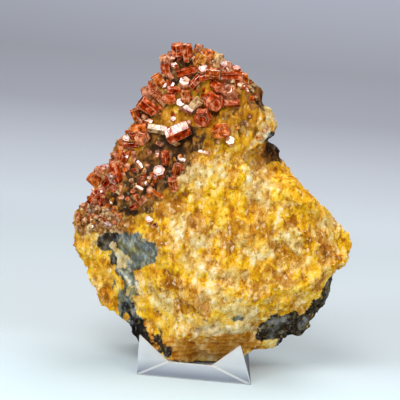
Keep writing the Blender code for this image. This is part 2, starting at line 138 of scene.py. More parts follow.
# ---- where each kind of stone shows ----------------------------------------------------------
# Seen from the front: x, z, half the length, half the width, and the turn in degrees
FRONT_STONES = {
    "ochre": [(-14.7, 63.3, 6.0, 3.5, 30), (-5.5, 63.5, 6.5, 3.4, 10), (2.5, 66.5, 5.0, 3.2, 0),
              (-1.0, 59.5, 5.5, 2.6, 10), (-6.3, 69.2, 6.5, 3.8, 20), (5.0, 63.0, 7.0, 6.0, 0),
              (-8.0, 8.5, 4.5, 1.3, -55), (-1.0, 72.5, 6.0, 1.5, 10), (9.0, 66.5, 5.5, 4.5, -50)],
    "pale": [(10.9, 47.3, 3.2, 4.2, 0), (-2.9, 49.7, 7.5, 2.6, 12), (-6.5, 37.5, 2.4, 3.4, 20),
             (-1.7, 29.0, 3.6, 2.4, 0), (-1.8, 34.2, 3.0, 2.2, 0), (12.9, 34.0, 7.0, 2.8, 5),
             (2.8, 13.6, 11.0, 2.0, 4), (5.1, 20.4, 5.5, 3.2, 0), (28.5, 41.0, 3.6, 2.2, -45),
             (6.0, 60.5, 2.2, 1.1, 0), (12.0, 64.5, 1.7, 2.6, 0), (9.6, 15.6, 4.4, 3.6, 0),
             (8.0, 26.5, 2.6, 1.8, 0), (19.5, 36.3, 3.4, 2.4, 0), (10.4, 58.8, 5.0, 0.9, 53),
             (-20.2, 25.6, 1.4, 3.0, 15), (-28.0, 29.5, 2.0, 3.0, 0), (-24.0, 20.5, 1.5, 3.4, -50),
             (-10.5, 18.5, 2.0, 4.5, 35), (19.0, 21.5, 3.0, 1.2, 8)],
    "yellow": [(24.3, 43.7, 4.8, 4.0, -40), (12.5, 36.0, 3.4, 2.6, 0), (-19.8, 15.4, 2.2, 2.4, 0),
               (4.5, 41.9, 4.8, 4.0, 10), (20.6, 22.6, 3.4, 1.9, 10), (4.2, 15.0, 2.8, 1.9, 0),
               (14.0, 28.3, 2.2, 2.2, 0), (-27.0, 24.5, 9.5, 2.9, -56), (-12.5, 35.5, 3.0, 4.0, 10),
               (-10.6, 12.6, 8.0, 1.6, -55), (18.0, 50.0, 4.0, 2.0, -40), (6.5, 57.5, 4.6, 2.8, 10),
               (-12.0, 25.0, 2.6, 3.6, 20)],
    "rust": [(29.0, 33.8, 2.4, 3.2, 0), (12.2, 56.4, 2.4, 2.4, 0), (16.8, 34.0, 1.2, 3.6, 20),
             (19.6, 31.4, 4.2, 2.2, 0), (-11.3, 32.6, 2.4, 3.6, 0), (-2.0, 38.2, 3.4, 2.2, 10),
             (8.5, 37.6, 5.5, 1.6, 5), (-9.0, 41.0, 4.5, 2.0, 25), (-8.0, 22.5, 2.4, 1.6, 0),
             (-2.0, 18.5, 4.4, 1.9, -8), (18.5, 27.0, 3.4, 1.4, -20), (12.6, 9.5, 2.6, 1.9, 0),
             (-21.0, 14.5, 1.4, 3.0, -45)],
    "umber": [(3.7, 7.0, 12.5, 4.0, 4), (-12.0, 7.0, 4.0, 2.2, -40)],
    "dark": [(-15.0, 48.5, 13.5, 5.6, 47), (-8.4, 57.3, 7.2, 3.1, 10), (-9.7, 75.6, 5.0, 2.4, 10),
             (-21.0, 44.5, 5.0, 3.4, 50), (-12.0, 71.5, 2.2, 3.6, 20), (-17.0, 40.6, 4.0, 2.4, 20),
             (-5.5, 72.6, 3.6, 1.4, 20), (-17.5, 60.5, 2.5, 6.0, 20), (8.8, 69.3, 2.2, 3.6, 30),
             (14.2, 56.2, 3.8, 2.6, -65)],
    "grey": [(-16.7, 28.9, 3.7, 4.8, 0), (-19.5, 33.4, 4.0, 1.4, 0), (-13.2, 29.0, 1.8, 2.6, 30),
             (-19.6, 31.5, 2.4, 2.0, 0), (-18.0, 21.5, 2.0, 4.8, 18), (-16.6, 12.6, 7.5, 1.9, -56),
             (9.0, 16.0, 1.6, 1.3, 0)],
    "black": [(-23.2, 30.6, 3.4, 3.0, 0), (-22.0, 26.2, 1.6, 2.6, 0), (-14.9, 10.2, 7.6, 1.9, -54),
              (-17.0, 8.6, 6.0, 2.0, -36), (20.8, 13.6, 6.9, 3.4, 14), (18.6, 10.2, 4.8, 2.0, 12),
              (30.0, 20.5, 8.5, 2.2, 66), (24.5, 9.5, 5.0, 3.0, 30), (12.4, 59.4, 1.8, 1.4, 0),
              (14.6, 58.0, 1.2, 2.2, 0), (-8.2, 5.4, 3.2, 1.1, -60)],
    "druse": [(-26.0, 36.2, 7.6, 3.6, -6), (-30.5, 33.0, 2.4, 3.4, 0), (-23.0, 54.0, 14.0, 1.4, 67),
              (-15.8, 71.0, 6.0, 1.6, 60)],
    "seam": [(6.0, 12.0, 8.5, 1.3, 4), (-19.8, 26.4, 1.3, 2.9, 12), (-18.4, 21.2, 0.5, 2.4, 25),
             (-21.9, 29.0, 0.9, 0.9, 0), (-15.6, 19.2, 2.6, 0.6, -62), (12.4, 64.8, 1.3, 2.6, 10),
             (10.4, 58.8, 4.6, 0.6, 53)],
}
# The same on the back, where x still counts to the right as seen from the front
BACK_STONES = {
    "ochre": [(-6.0, 62.0, 8.0, 7.0, 0), (12.0, 30.0, 7.0, 6.0, 20)],
    "pale": [(8.0, 44.0, 8.0, 5.0, 20), (-14.0, 28.0, 7.0, 4.0, -20), (2.0, 18.0, 8.0, 3.0, 0)],
    "yellow": [(20.0, 36.0, 6.0, 5.0, 0), (-4.0, 36.0, 6.0, 6.0, 0), (-24.0, 24.0, 6.0, 3.0, -50)],
    "rust": [(-16.0, 42.0, 6.0, 3.0, 40), (22.0, 24.0, 5.0, 3.0, 40), (2.0, 52.0, 6.0, 3.0, 10)],
    "umber": [(2.0, 6.0, 16.0, 4.0, 0)],
    "dark": [(-18.0, 52.0, 12.0, 4.0, 60), (-11.0, 72.0, 5.0, 6.0, 0)],
    "grey": [(-6.0, 24.0, 5.0, 6.0, 30)],
    "black": [(16.0, 12.0, 10.0, 4.5, 20), (30.0, 28.0, 3.0, 8.0, 0)],
    "druse": [(-26.0, 36.0, 6.0, 4.0, 0)],
    "seam": [(4.0, 30.0, 16.0, 0.8, 24), (-12.0, 44.0, 8.0, 0.6, -35)],
}
BARE_STONES = ("ochre", "umber", "dark", "grey", "black")     # those that no crust covers
BACK_STARTS = 3.0           # the depth where the back's stones take over from the front's
BACK_EDGE = 5.0             # how wide a band they take to do so
WANDER_SIZE = 9.0           # how far the stones wander as they go back into the rock
WANDER = 0.5                # the most, for each millimetre behind the depth where they start to
WANDER_STARTS = -4.0
STAIN_REACH = 2.2           # how far the dark stone stains what is round it
STAIN_EDGE = 5.0

# ---- the crystals ----------------------------------------------------------------------------
# Each is a hexagonal prism: x and z of its middle seen from the front, its width across corners
# and its length, then three angles: its axis's lean in the picture plane, anticlockwise from
# +X, how far the axis comes out towards the viewer, and its turn about the axis, where 0 shows
# a flat side to the upper front and 30 shows an edge. Last comes its tone.
UPPER_FRONT = (-0.10, -0.84, 0.53)
NEARLY_END_ON = 0.2         # the sine below which an axis counts as pointing to the upper front
CRYSTALS = [
    # the crown
    (-11.0, 78.0, 3.2, 2.8, 100, 15, 20, "red"), (-8.5, 77.5, 2.7, 4.2, 100, 10, 30, "red"),
    (-6.0, 78.5, 2.2, 2.4, 85, 0, 10, "pink"), (-5.0, 76.5, 3.5, 3.5, 65, 20, 30, "amber"),
    (-3.5, 77.5, 2.5, 2.7, 75, 10, 30, "orange"), (-1.0, 76.5, 2.2, 3.2, 80, 10, 30, "cream"),
    (1.0, 75.0, 2.5, 2.7, 90, 5, 15, "pink"), (-12.5, 76.0, 2.5, 2.5, 80, 58, 0, "pink"),
    (-14.0, 75.0, 2.5, 2.7, 105, 15, 25, "pink"), (-13.5, 73.0, 2.5, 3.2, 105, 10, 25, "red"),
    (-15.0, 70.5, 2.7, 2.7, 125, 15, 25, "orange"),
    # the upper shelf
    (-8.0, 73.0, 2.5, 5.4, 20, 0, 20, "red"), (-4.5, 74.0, 2.4, 2.2, 95, 58, 0, "pink"),
    (-2.0, 73.5, 3.0, 3.5, 0, 10, 28, "rust"), (-3.0, 72.5, 1.8, 4.4, 13, 0, 30, "red"),
    (2.5, 73.0, 2.5, 4.9, 5, 0, 25, "red"), (5.5, 72.5, 2.0, 2.7, 95, 15, 30, "orange"),
    (-6.0, 71.0, 2.2, 3.5, 53, 0, 30, "deep"), (-8.5, 70.3, 2.5, 3.0, 100, 54, 0, "pink"),
    (-8.0, 67.5, 2.5, 3.0, 90, 5, 25, "rust"), (-11.0, 68.5, 2.0, 3.2, 180, 10, 25, "red"),
    (-11.5, 66.5, 2.7, 3.0, 15, 20, 25, "red"), (-14.5, 66.5, 2.5, 3.7, 140, 10, 25, "rust"),
    # down the left edge
    (-17.5, 67.0, 2.7, 3.0, 115, 10, 30, "pink"), (-17.0, 64.0, 3.5, 4.4, 145, 10, 25, "red"),
    (-19.5, 61.5, 2.7, 3.0, 115, 10, 20, "orange"), (-18.5, 58.5, 2.5, 3.9, 15, 10, 25, "orange"),
    (-17.5, 56.5, 3.5, 2.5, 205, 72, 10, "salmon"), (-14.0, 59.0, 2.5, 4.7, -3, 10, 8, "cream"),
    (-21.5, 55.5, 2.0, 2.0, 85, 58, 0, "pink"), (-20.0, 54.5, 1.8, 3.7, 10, 0, 25, "deep"),
    (-22.5, 52.0, 2.0, 3.7, 95, 5, 20, "orange"), (-24.0, 51.0, 2.0, 2.2, 115, 10, 20, "pink"),
    (-23.0, 48.0, 2.7, 5.2, 110, 5, 25, "red"), (-24.0, 46.5, 2.0, 2.2, 75, 30, 10, "lilac"),
    (-27.0, 47.0, 2.5, 3.2, 155, 25, 0, "pink"), (-25.0, 45.5, 2.2, 2.5, 65, 10, 25, "deep"),
    (-28.0, 44.5, 3.5, 3.9, 135, 20, 15, "orange"), (-28.0, 41.0, 2.5, 3.2, 65, 20, 0, "red"),
    (-26.0, 41.0, 2.2, 3.0, 85, 10, 30, "deep"),
    # the big ones, and those on the dark stone
    (-1.5, 67.0, 4.7, 3.7, -25, 60, 10, "red"), (-3.5, 63.0, 4.7, 2.7, 255, 72, 5, "red"),
    (-1.0, 70.5, 3.0, 2.7, -25, 50, 10, "red"), (2.5, 69.0, 4.2, 3.5, 125, 45, 15, "pink"),
    (3.0, 67.0, 2.2, 3.7, 10, 0, 25, "red"), (-5.5, 66.0, 2.5, 3.0, 50, 20, 15, "cream"),
    (-9.0, 65.5, 2.2, 2.0, 100, 58, 15, "pink"), (-7.0, 64.5, 2.0, 2.7, -20, 20, 10, "lilac"),
    (1.0, 60.5, 3.9, 3.2, 25, 50, 0, "orange"), (-9.0, 59.0, 4.4, 5.9, 30, 5, 0, "red"),
    (3.5, 58.0, 2.2, 2.5, 105, 60, 10, "pink"), (-11.5, 52.5, 2.5, 3.2, 100, 20, 30, "red"),
    (-12.5, 49.0, 3.0, 3.0, 105, 55, 0, "red"), (-8.5, 50.0, 2.5, 3.2, 85, 20, 30, "rust"),
    (-9.0, 47.0, 2.5, 3.2, 105, 30, 20, "rust"),
    # the back, where an axis that goes back leans away from the viewer
    (-10.5, 73.5, 3.2, 3.6, 80, -45, 10, "red"), (-7.0, 74.5, 2.6, 3.2, 60, -30, 20, "rust"),
    (-13.5, 70.0, 2.8, 3.4, 120, -50, 0, "orange"), (-9.5, 69.0, 2.4, 3.8, 150, -10, 30, "red"),
    (-15.0, 64.5, 3.4, 3.0, 130, -60, 15, "deep"), (-17.5, 59.5, 2.6, 3.4, 160, -25, 5, "red"),
    (-20.0, 53.5, 3.0, 3.6, 110, -40, 20, "orange"), (-23.5, 47.5, 2.4, 3.0, 140, -35, 10, "rust"),
]
# The same, for small crystals that sit deeper in the rock's own surface
SMALL_CRYSTALS = [
    (-11.5, 74.0, 1.7, 1.7, 95, 58, 0, "pink"), (0.5, 72.0, 1.5, 1.5, 90, 58, 0, "rust"),
    (-13.5, 69.0, 1.7, 1.7, 100, 58, 0, "pink"), (-16.5, 69.0, 1.7, 2.0, 105, 10, 20, "orange"),
    (1.0, 71.0, 1.7, 1.7, 95, 30, 20, "rust"), (-10.5, 61.5, 1.5, 1.5, 95, 58, 10, "pink"),
    (-6.5, 61.0, 1.2, 2.0, 115, 50, 0, "pink"), (-16.5, 60.5, 1.7, 2.5, -15, 20, 0, "pink"),
    (-22.5, 54.5, 1.7, 1.7, 125, 10, 25, "orange"), (-20.5, 52.5, 1.7, 1.7, 105, 30, 20, "orange"),
    (-25.5, 49.5, 1.4, 1.6, 95, 20, 10, "pink"), (-24.0, 44.0, 1.2, 2.0, 25, 20, 0, "pink"),
    (-26.5, 43.0, 1.7, 2.0, 90, 35, 0, "pink"), (-23.0, 43.5, 1.2, 1.7, 65, 20, 0, "pink"),
    (-21.5, 44.0, 0.8, 2.0, 90, 20, 0, "pink"), (-23.5, 41.0, 1.2, 2.7, 65, 10, 15, "amber"),
    (-24.5, 39.5, 1.2, 1.5, 65, 20, 20, "orange"), (-19.0, 51.5, 1.5, 3.5, 97, 10, 20, "pink"),
    (-17.5, 50.0, 1.5, 2.2, -40, 20, 0, "pink"), (-20.5, 49.0, 1.5, 1.7, 95, 30, 20, "pink"),
    (-19.0, 48.5, 1.2, 1.7, 15, 10, 20, "deep"), (-15.5, 53.0, 1.2, 1.2, 95, 40, 10, "pink"),
    (-7.5, 52.5, 1.5, 2.0, -15, 20, 10, "lilac"), (-2.5, 55.0, 1.2, 2.7, -5, 20, 15, "pink"),
    (0.5, 57.5, 1.0, 1.2, 95, 50, 10, "cream"), (-16.5, 46.5, 2.0, 2.2, 95, 30, 20, "rust"),
    (-17.0, 45.0, 1.0, 2.0, -20, 20, 0, "pink"), (-18.5, 44.0, 1.5, 1.5, 95, 70, 10, "rust"),
    (-17.5, 42.5, 1.7, 2.2, 115, 20, 15, "rust"), (-16.0, 42.0, 1.7, 2.0, 65, 20, 15, "pink"),
    (-18.0, 40.5, 1.5, 1.7, 35, 20, 15, "red"), (-14.5, 44.5, 1.7, 1.7, 95, 70, 10, "pink"),
    (-12.5, 44.0, 1.2, 3.2, -25, 15, 15, "orange"), (-24.0, 37.0, 1.7, 2.2, 95, 40, 10, "cream"),
    (-23.0, 38.5, 1.7, 2.0, 65, 40, 20, "orange"), (-21.0, 37.5, 1.5, 2.0, 125, 30, 20, "orange"),
    (-22.5, 35.5, 1.5, 1.7, 35, 30, 20, "rust"), (-14.0, 37.5, 2.2, 2.2, 95, 60, 20, "orange"),
    (-12.5, 36.5, 1.5, 1.7, 35, 30, 20, "pink"), (-28.5, 37.5, 1.7, 1.7, 105, 50, 0, "sand"),
    (-31.0, 37.5, 1.5, 1.7, 115, 20, 0, "sand"), (-27.0, 36.0, 1.2, 1.5, 65, 50, 0, "sand"),
    (-25.5, 35.0, 1.2, 1.5, 85, 30, 10, "sand"), (-30.0, 34.5, 1.6, 1.8, 70, 50, 10, "sand"),
    (-28.0, 33.5, 1.3, 1.6, 120, 60, 20, "sand"), (-31.5, 32.5, 1.4, 1.6, 150, 20, 10, "sand"),
    (-25.9, 47.8, 2.6, 2.8, 20, 10, 0, "red"), (-26.4, 42.4, 2.8, 2.6, 35, 15, 0, "deep"),
    (-23.9, 45.6, 2.2, 2.6, -30, 10, 0, "deep"), (-23.0, 44.2, 1.8, 2.0, 60, 15, 0, "red"),
    (-25.4, 43.4, 2.2, 2.4, 120, 30, 15, "salmon"), (-27.6, 39.6, 2.2, 2.2, 60, 40, 10, "pink"),
    (-21.6, 50.6, 2.4, 2.6, 75, 20, 25, "red"), (-22.3, 49.2, 2.0, 2.2, 20, 30, 15, "rust"),
    (-19.6, 56.4, 2.2, 2.4, 100, 30, 10, "red"), (-15.8, 62.4, 2.4, 2.6, 60, 30, 20, "orange"),
    (-16.2, 68.4, 2.2, 2.4, 110, 20, 10, "red"), (-0.2, 75.4, 2.2, 2.2, 60, 40, 0, "salmon"),
    (3.4, 74.2, 2.2, 2.2, 90, 30, 10, "red"), (-12.6, 74.2, 2.2, 2.4, 100, 10, 25, "rust"),
]
EDGE_REACH = 0.42           # how far off the rock's edge a crystal's middle may lie, by its width
EDGE_DEPTH = 3.0            # how far forward, or back, the edge is looked for
PROUD = 0.22                # how far a crystal's middle stands out from the rock, by its width
SINK = 0.35                 # how much further in a small crystal sits, by its width

# Druse: crystals too small to place one by one. Each patch: x, z, its radius, and how many
DRUSE = [(-28.0, 34.5, 4.5, 9), (-22.0, 39.5, 4.5, 6), (-17.0, 48.0, 5.0, 6),
         (-13.0, 55.5, 3.5, 4), (9.0, 61.0, 3.0, 4)]
DRUSE_ACROSS = (0.8, 1.5)
DRUSE_LONGER = (1.0, 1.5)   # length, by width
DRUSE_OUT = (20.0, 70.0)    # degrees towards the viewer
DRUSE_SEED = 11

# Seed crystals, too many to be in the solids. Each bed: x, z, half its length, half its width,
# its turn in degrees, how many, and how weathered they look
SEED_BEDS = [(-16.5, 62.5, 16.0, 2.4, 62, 60, "fresh"), (4.5, 72.0, 6.0, 1.8, -38, 40, "fresh"),
             (-25.0, 46.0, 9.5, 2.4, 52, 34, "fresh"), (-2.0, 74.5, 10.0, 1.8, -22, 40, "fresh"),
             (-4.0, 66.5, 9.0, 3.0, 25, 26, "fresh"), (-14.0, 49.0, 10.0, 5.0, 45, 26, "fresh"),
             (-26.0, 36.5, 6.0, 3.4, 0, 70, "weathered"), (8.0, 62.5, 5.0, 3.0, -30, 8, "weathered")]
SEED_ACROSS = (0.6, 1.35)
SEED_LONGER = (0.8, 1.6)
SEED_OUT = (0.0, 75.0)
SEED_TONES = {
    "fresh": ("red", "orange", "rust", "pink", "salmon", "amber", "cream", "deep"),
    "weathered": ("rust", "amber", "cream", "sand", "pink", "cream", "sand", "lilac"),
}
SEED_DRAW = 4
SEED_SINK = 0.3
CRYSTAL_DRAW = 21
SHADES = (0.85, 1.15)       # how much darker or brighter than its tone a crystal may be
# Each habit: the rim round its ends, the step down from it and the boss in the middle, then
# its sides from one end to the other, as (height, width): barrels, and plates grown in parallel
BARREL = [(-0.5, 0.9), (-0.2, 1.0), (0.16, 1.02), (0.5, 0.92)]
STACKED = [(-0.5, 0.97), (-0.1, 1.0), (-0.06, 0.93), (0.14, 0.93), (0.18, 1.0), (0.5, 0.95)]
CAPPED = [(-0.5, 1.0), (0.24, 0.96), (0.28, 0.86), (0.5, 0.84)]
HABITS = [(0.1, 0.03, 0.015, BARREL), (0.06, 0.05, 0.03, STACKED), (0.16, 0.02, 0.01, CAPPED),
          (0.08, 0.02, 0.02, BARREL)]
SEED_SIDES = [(-0.5, 0.94), (0.5, 1.0)]
UNEVEN = 0.014              # how far a habit's corners are from where they should be
END_FACING = 0.9            # how squarely a face that counts as an end faces along the axis
STEP_WIDTH = 0.02           # how wide the steps of an end are, and the hollow between them
HOLLOW_WIDTH = 0.08
WORN_WIDTH = 0.06           # how wide the rounded edges are, which the finish paints pale for wear and as a painted highlight
OUTER_EDGE = 0.4            # how far from its axis a crystal's outer edges start
PALE_EDGE_INSIDE = 0.35          # how pale the edges within are painted, for wear and as a painted highlight, against those outside
MERGE = 0.00001             # metres
# Where the stand isn't regular: the lowest and highest place of the corners moved, and how far
STAND_SHIFTS = [((-13.0, -13.0, 5.0), (-9.0, 13.0, 10.0), (-3.6, 0.0, 0.5)),
                ((-7.0, -12.0, 1.5), (-5.0, -10.0, 4.0), (-0.9, 0.0, 0.0)),
                ((5.0, -12.0, 1.5), (7.0, -10.0, 4.0), (-1.6, 0.0, 0.0))]
STAND_EDGE = 0.28           # how wide a rounded edge is
RIM_TURN = math.radians(2)  # how far a rounded edge's faces are turned from every flat one

# Each kind of stone: its colours in sRGB, for what lies deep, the middle and what stands proud,
# how wide a band it takes to give way to the next kind, and how much of the crust it hides
STONES = {
    "ochre": (("5E3A04", "B0780A", "DC9C18"), 3.0, 0.95),
    "pale": (("C09448", "E0CC98", "F0ECDA"), 4.0, 0.65),
    "yellow": (("B8780A", "E8B008", "F8D84A"), 5.0, 0.8),
    "rust": (("844808", "B87614", "D89C34"), 4.0, 0.75),
    "umber": (("96560A", "D08E2C", "F0CC90"), 2.4, 0.95),
    "dark": (("120B08", "3A2314", "9A6426"), 2.6, 0.97),
    "grey": (("303A42", "58666E", "A4AEAC"), 2.2, 0.95),
    "black": (("0A0A0D", "1C1C22", "77777A"), 2.2, 0.97),
    "druse": (("54301A", "A46C3A", "E6C498"), 3.0, 0.9),
    "seam": (("C0A070", "E0CEA4", "F2EAD2"), 1.8, 0.85),
}
# Loose grains of crust: each shape's width and height against its depth, then how they are strewn
GRAIN_SHAPES = ((1.0, 0.8), (1.3, 0.7), (0.8, 1.1))
GRAIN_UNEVEN = 0.13
GRAIN_SPACING = 0.85
GRAIN_ACROSS = (0.3, 0.65)
GRAINS_PER_MM2 = 3.0
GRAIN_DRAW = 5

# The studio, in metres
SWEEP_REACH = 10.0          # to both sides and to the front
SWEEP_BACK = 0.45           # where it turns up
SWEEP_HEIGHT = 1.5
SWEEP_BEND = 0.3
LIT_PLACE = (0.0, 0.0, 0.04)
# The sweep's colour from the floor up the wall: its own pale blue-grey, with painted shade that
# turns it darker grey higher up, where the light falls off.
SWEEP_SHADED_COLOURS = [(0.0, "DAEAF0"), (0.7, "9EA0AB"), (0.1, "D4E4E9"), (0.15, "CAD3D6"),
                 (0.37, "C8CFD4"), (0.45, "B8BCC4"), (0.53, "9A9CA4"), (0.6, "909299")]
# Each softbox: where it stands, its side, its power, and whether glossy faces mirror it
SOFTBOXES = [("key", (-0.20, -0.35, 0.50), 0.35, 0.8, True),
             ("top", (0.15, 0.13, 0.58), 0.4, 1.9, True),
             ("right", (0.42, -0.35, 0.42), 0.5, 0.95, False),
             ("front", (0.10, -0.9, 0.30), 0.6, 1.1, False),
             ("upper glint", (-0.11, -0.34, 0.52), 0.25, 1.2, True),
             ("left glint", (-0.40, -0.36, 0.38), 0.16, 1.0, True)]
CAMERA_TARGET = (-2.422, 0.0, 41.593)
CAMERA_DOWN = 10.0          # degrees
CAMERA_ROLL = 5.2
CAMERA_DISTANCE = 300.0
CAMERA_FIELD = 98.7         # how wide the view is at the target

# Tones were read off how each crystal looked, so they are partly its own colour and partly painted
# light: "deep" is a painted shade for crystals that lay in shadow, and the pale "pink", "salmon" and
# "cream" are partly a painted highlight for faces that caught the light.
TONES = {                   # sRGB
    "red": "D04C0C", "deep": "AE3604", "rust": "C4580E", "orange": "EC781C", "amber": "DC9028",
    "salmon": "E87C48", "pink": "ECA078", "lilac": "C8988C", "cream": "ECD09A", "sand": "D8B080",
}


# ---- modelling -------------------------------------------------------------------------------
MESH_PARTS = {"VERT": "vertices", "EDGE": "edges", "FACE": "polygons"}


def only(obj):
    """Makes a piece the only one selected, and the active one."""
    bpy.ops.object.select_all(action="DESELECT")
    obj.select_set(True)
    bpy.context.view_layer.objects.active = obj


def edit(obj, pick="SELECT"):
    only(obj)
    bpy.ops.object.mode_set(mode="EDIT")
    bpy.ops.mesh.select_all(action=pick)


def done():
    bpy.ops.object.mode_set(mode="OBJECT")


def pick(obj, kind, test):
    """Goes into edit mode with the corners, edges or faces that pass a test selected."""
    edit(obj, "DESELECT")
    bpy.ops.mesh.select_mode(type=kind)
    done()
    for part in getattr(obj.data, MESH_PARTS[kind]):
        part.select = test(part)
    bpy.ops.object.mode_set(mode="EDIT")


def modify(obj, kind, **settings):
    """Adds a modifier and applies it."""
    only(obj)
    modifier = obj.modifiers.new(kind.title(), kind)
    for key, value in settings.items():
        setattr(modifier, key, value)
    bpy.ops.object.modifier_apply(modifier=modifier.name)


def copied(obj):
    """A copy with a mesh of its own."""
    twin = obj.copy()
    twin.data = obj.data.copy()
    bpy.context.collection.objects.link(twin)
    return twin


def joined(pieces):
    only(pieces[0])
    for piece in pieces:
        piece.select_set(True)
    bpy.ops.object.join()
    return pieces[0]


def hand_over(obj, name, material, slot, *nodes):
    """Turns a finished piece into metres in the frame, gives it its material, and hides the solids
    that it stands in for.
    """
    obj.name = obj.data.name = name
    obj.scale = (MM, MM, MM)
    obj.location = STAND_CENTRE
    only(obj)
    bpy.ops.object.transform_apply(location=True, rotation=True, scale=True)
    obj.data.materials.clear()
    obj.data.materials.append(material)
    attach(obj, "root")
    if nodes:
        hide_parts(*nodes)


# ---- the rock --------------------------------------------------------------------------------
def relief(point):
    """How far the weathered surface stands out from the broken faces at a place."""
    lumps = noise.fractal(point / LUMP_SIZE, 1.0, 2.0, 2) * LUMP_HEIGHT
    nearest = noise.voronoi(point / KNOB_SIZE)[0]
    knobs = (0.5 - nearest[0]) * KNOB_HEIGHT
    slanted = Vector((point.x, point.y * STEP_DEPTH_SCALE, point.z + STEP_SLANT * point.x))
    steps = (noise.cell(slanted / STEP_SIZE) - 0.5) * STEP_HEIGHT
    return lumps + knobs + steps


def drawn_out(outline, sections, heart=(0.0, 0.0)):
    """A solid with an outline in x and z, extruded from the front to each section in turn."""
    depth, size = sections[0]
    bpy.ops.mesh.primitive_circle_add(vertices=len(outline), fill_type="NGON")
    obj = bpy.context.object
    for vertex, (x, z) in zip(obj.data.vertices, outline):
        vertex.co = (heart[0] + (x - heart[0]) * size, depth, heart[1] + (z - heart[1]) * size)
    edit(obj)
    for next_depth, next_size in sections[1:]:
        bpy.ops.mesh.extrude_region_move(
            TRANSFORM_OT_translate={"value": (0.0, next_depth - depth, 0.0)})
        ratio = next_size / size
        bpy.ops.transform.resize(
            value=(ratio, 1.0, ratio), center_override=(heart[0], next_depth, heart[1]))
        depth, size = next_depth, next_size
    bpy.ops.mesh.select_all(action="SELECT")
    bpy.ops.mesh.normals_make_consistent(inside=False)
    done()
    return obj


def settle(obj, places):
    """Moves the vertices, to places rounded off so that each run of the script gives the same."""
    places = [[round(value, ROUNDED_TO) for value in place] for place in places]
    for vertex, place in zip(obj.data.vertices, places):
        vertex.co = place


def broken_rock():
    """The rock as its fracture faces leave it, weathered but without its fine grain."""
    rock = drawn_out(ROCK_OUTLINE, ROCK_SECTIONS, ROCK_HEART)
    edit(rock)
    for point, normal in FRACTURES:
        bpy.ops.mesh.select_all(action="SELECT")
        bpy.ops.mesh.bisect(plane_co=point, plane_no=normal, use_fill=True, clear_outer=True)
    done()
    ledge = drawn_out(LEDGE_OUTLINE, [(-CLEAR_OF_ROCK, 1.0), (LEDGE_BACK, 1.0)])
    modify(rock, "BOOLEAN", operation="DIFFERENCE", object=ledge)
    bpy.data.objects.remove(ledge)
    settle(rock, [v.co for v in rock.data.vertices])
    edit(rock)
    bpy.ops.mesh.sort_elements(type="CURSOR_DISTANCE", elements={"VERT", "EDGE", "FACE"})
    bpy.ops.mesh.quads_convert_to_tris(quad_method="FIXED", ngon_method="BEAUTY")
    bpy.ops.mesh.sort_elements(type="CURSOR_DISTANCE", elements={"VERT", "EDGE", "FACE"})
    done()
    modify(rock, "REMESH", mode="VOXEL", voxel_size=BLOCK_CELL)
    settle(rock, [v.co + v.normal * relief(v.co) for v in rock.data.vertices])
    modify(rock, "REMESH", mode="VOXEL", voxel_size=ROCK_CELL)
    settle(rock, [v.co for v in rock.data.vertices])
    return rock


def share_of(places, patches, edge):
    """How much a kind of stone shows at each place, from 0 to 1, with 0.5 on its border."""
    share = np.zeros(len(places))
    for x, z, long, wide, turn in patches:
        turn = math.radians(turn)
        right, up = places[:, 0] - x, places[:, 2] - z
        along = (right * math.cos(turn) + up * math.sin(turn)) / long
        across = (up * math.cos(turn) - right * math.sin(turn)) / wide
        inside = (1.0 - np.hypot(along, across)) * min(long, wide)
        share = np.maximum(share, np.clip(0.5 + inside / edge, 0.0, 1.0))
    return share


def stone_shares(vertices):
    """How much of each kind of stone shows at each of the rock's points."""
    places = []
    for vertex in vertices:
        warp = noise.noise_vector(vertex.co / WARP_SIZE) * WARP
        behind = max(0.0, vertex.co.y - WANDER_STARTS)
        wander = noise.noise_vector(vertex.co / WANDER_SIZE) * (WANDER * behind)
        places.append(vertex.co + warp + wander)
    places = np.array(places)
    back = np.clip(0.5 + (places[:, 1] - BACK_STARTS) / BACK_EDGE, 0.0, 1.0)
    shares = {}
    for kind, (_, edge, _) in STONES.items():
        shares[kind] = np.maximum(share_of(places, FRONT_STONES[kind], edge) * (1.0 - back),
                                  share_of(places, BACK_STONES[kind], edge) * back)
    stained = [(x, z, long + STAIN_REACH, wide + STAIN_REACH, turn)
               for x, z, long, wide, turn in FRONT_STONES["dark"]]
    shares["stained"] = share_of(places, stained, STAIN_EDGE) * (1.0 - back)
    return shares


def fine_relief(point, share):
    """The grain of the surface at a place, by the stones that show there."""
    hackly = noise.multi_fractal(point / HACKLY_SIZE, 1.0, 2.0, 3) - 1.0
    sugary = 0.4 - noise.voronoi(point / SUGAR_SIZE)[0][0]
    pitted = min(0.0, PIT_LEVEL - noise.noise(point / PIT_SIZE))
    bedded = math.sin(point.z / BED_SIZE * math.tau + 2.0 * noise.noise(point / LUMP_SIZE))
    rough = max(share["dark"], share["black"])
    smooth = max(share["grey"], share["umber"])
    crusty = max(0.0, 1.0 - rough - smooth)
    return (hackly * rough * HACKLY_HEIGHT + sugary * crusty * SUGAR_HEIGHT
            + pitted * crusty * PIT_DEPTH + bedded * share["umber"] * BED_HEIGHT
            + sugary * share["druse"] * SUGAR_HEIGHT)


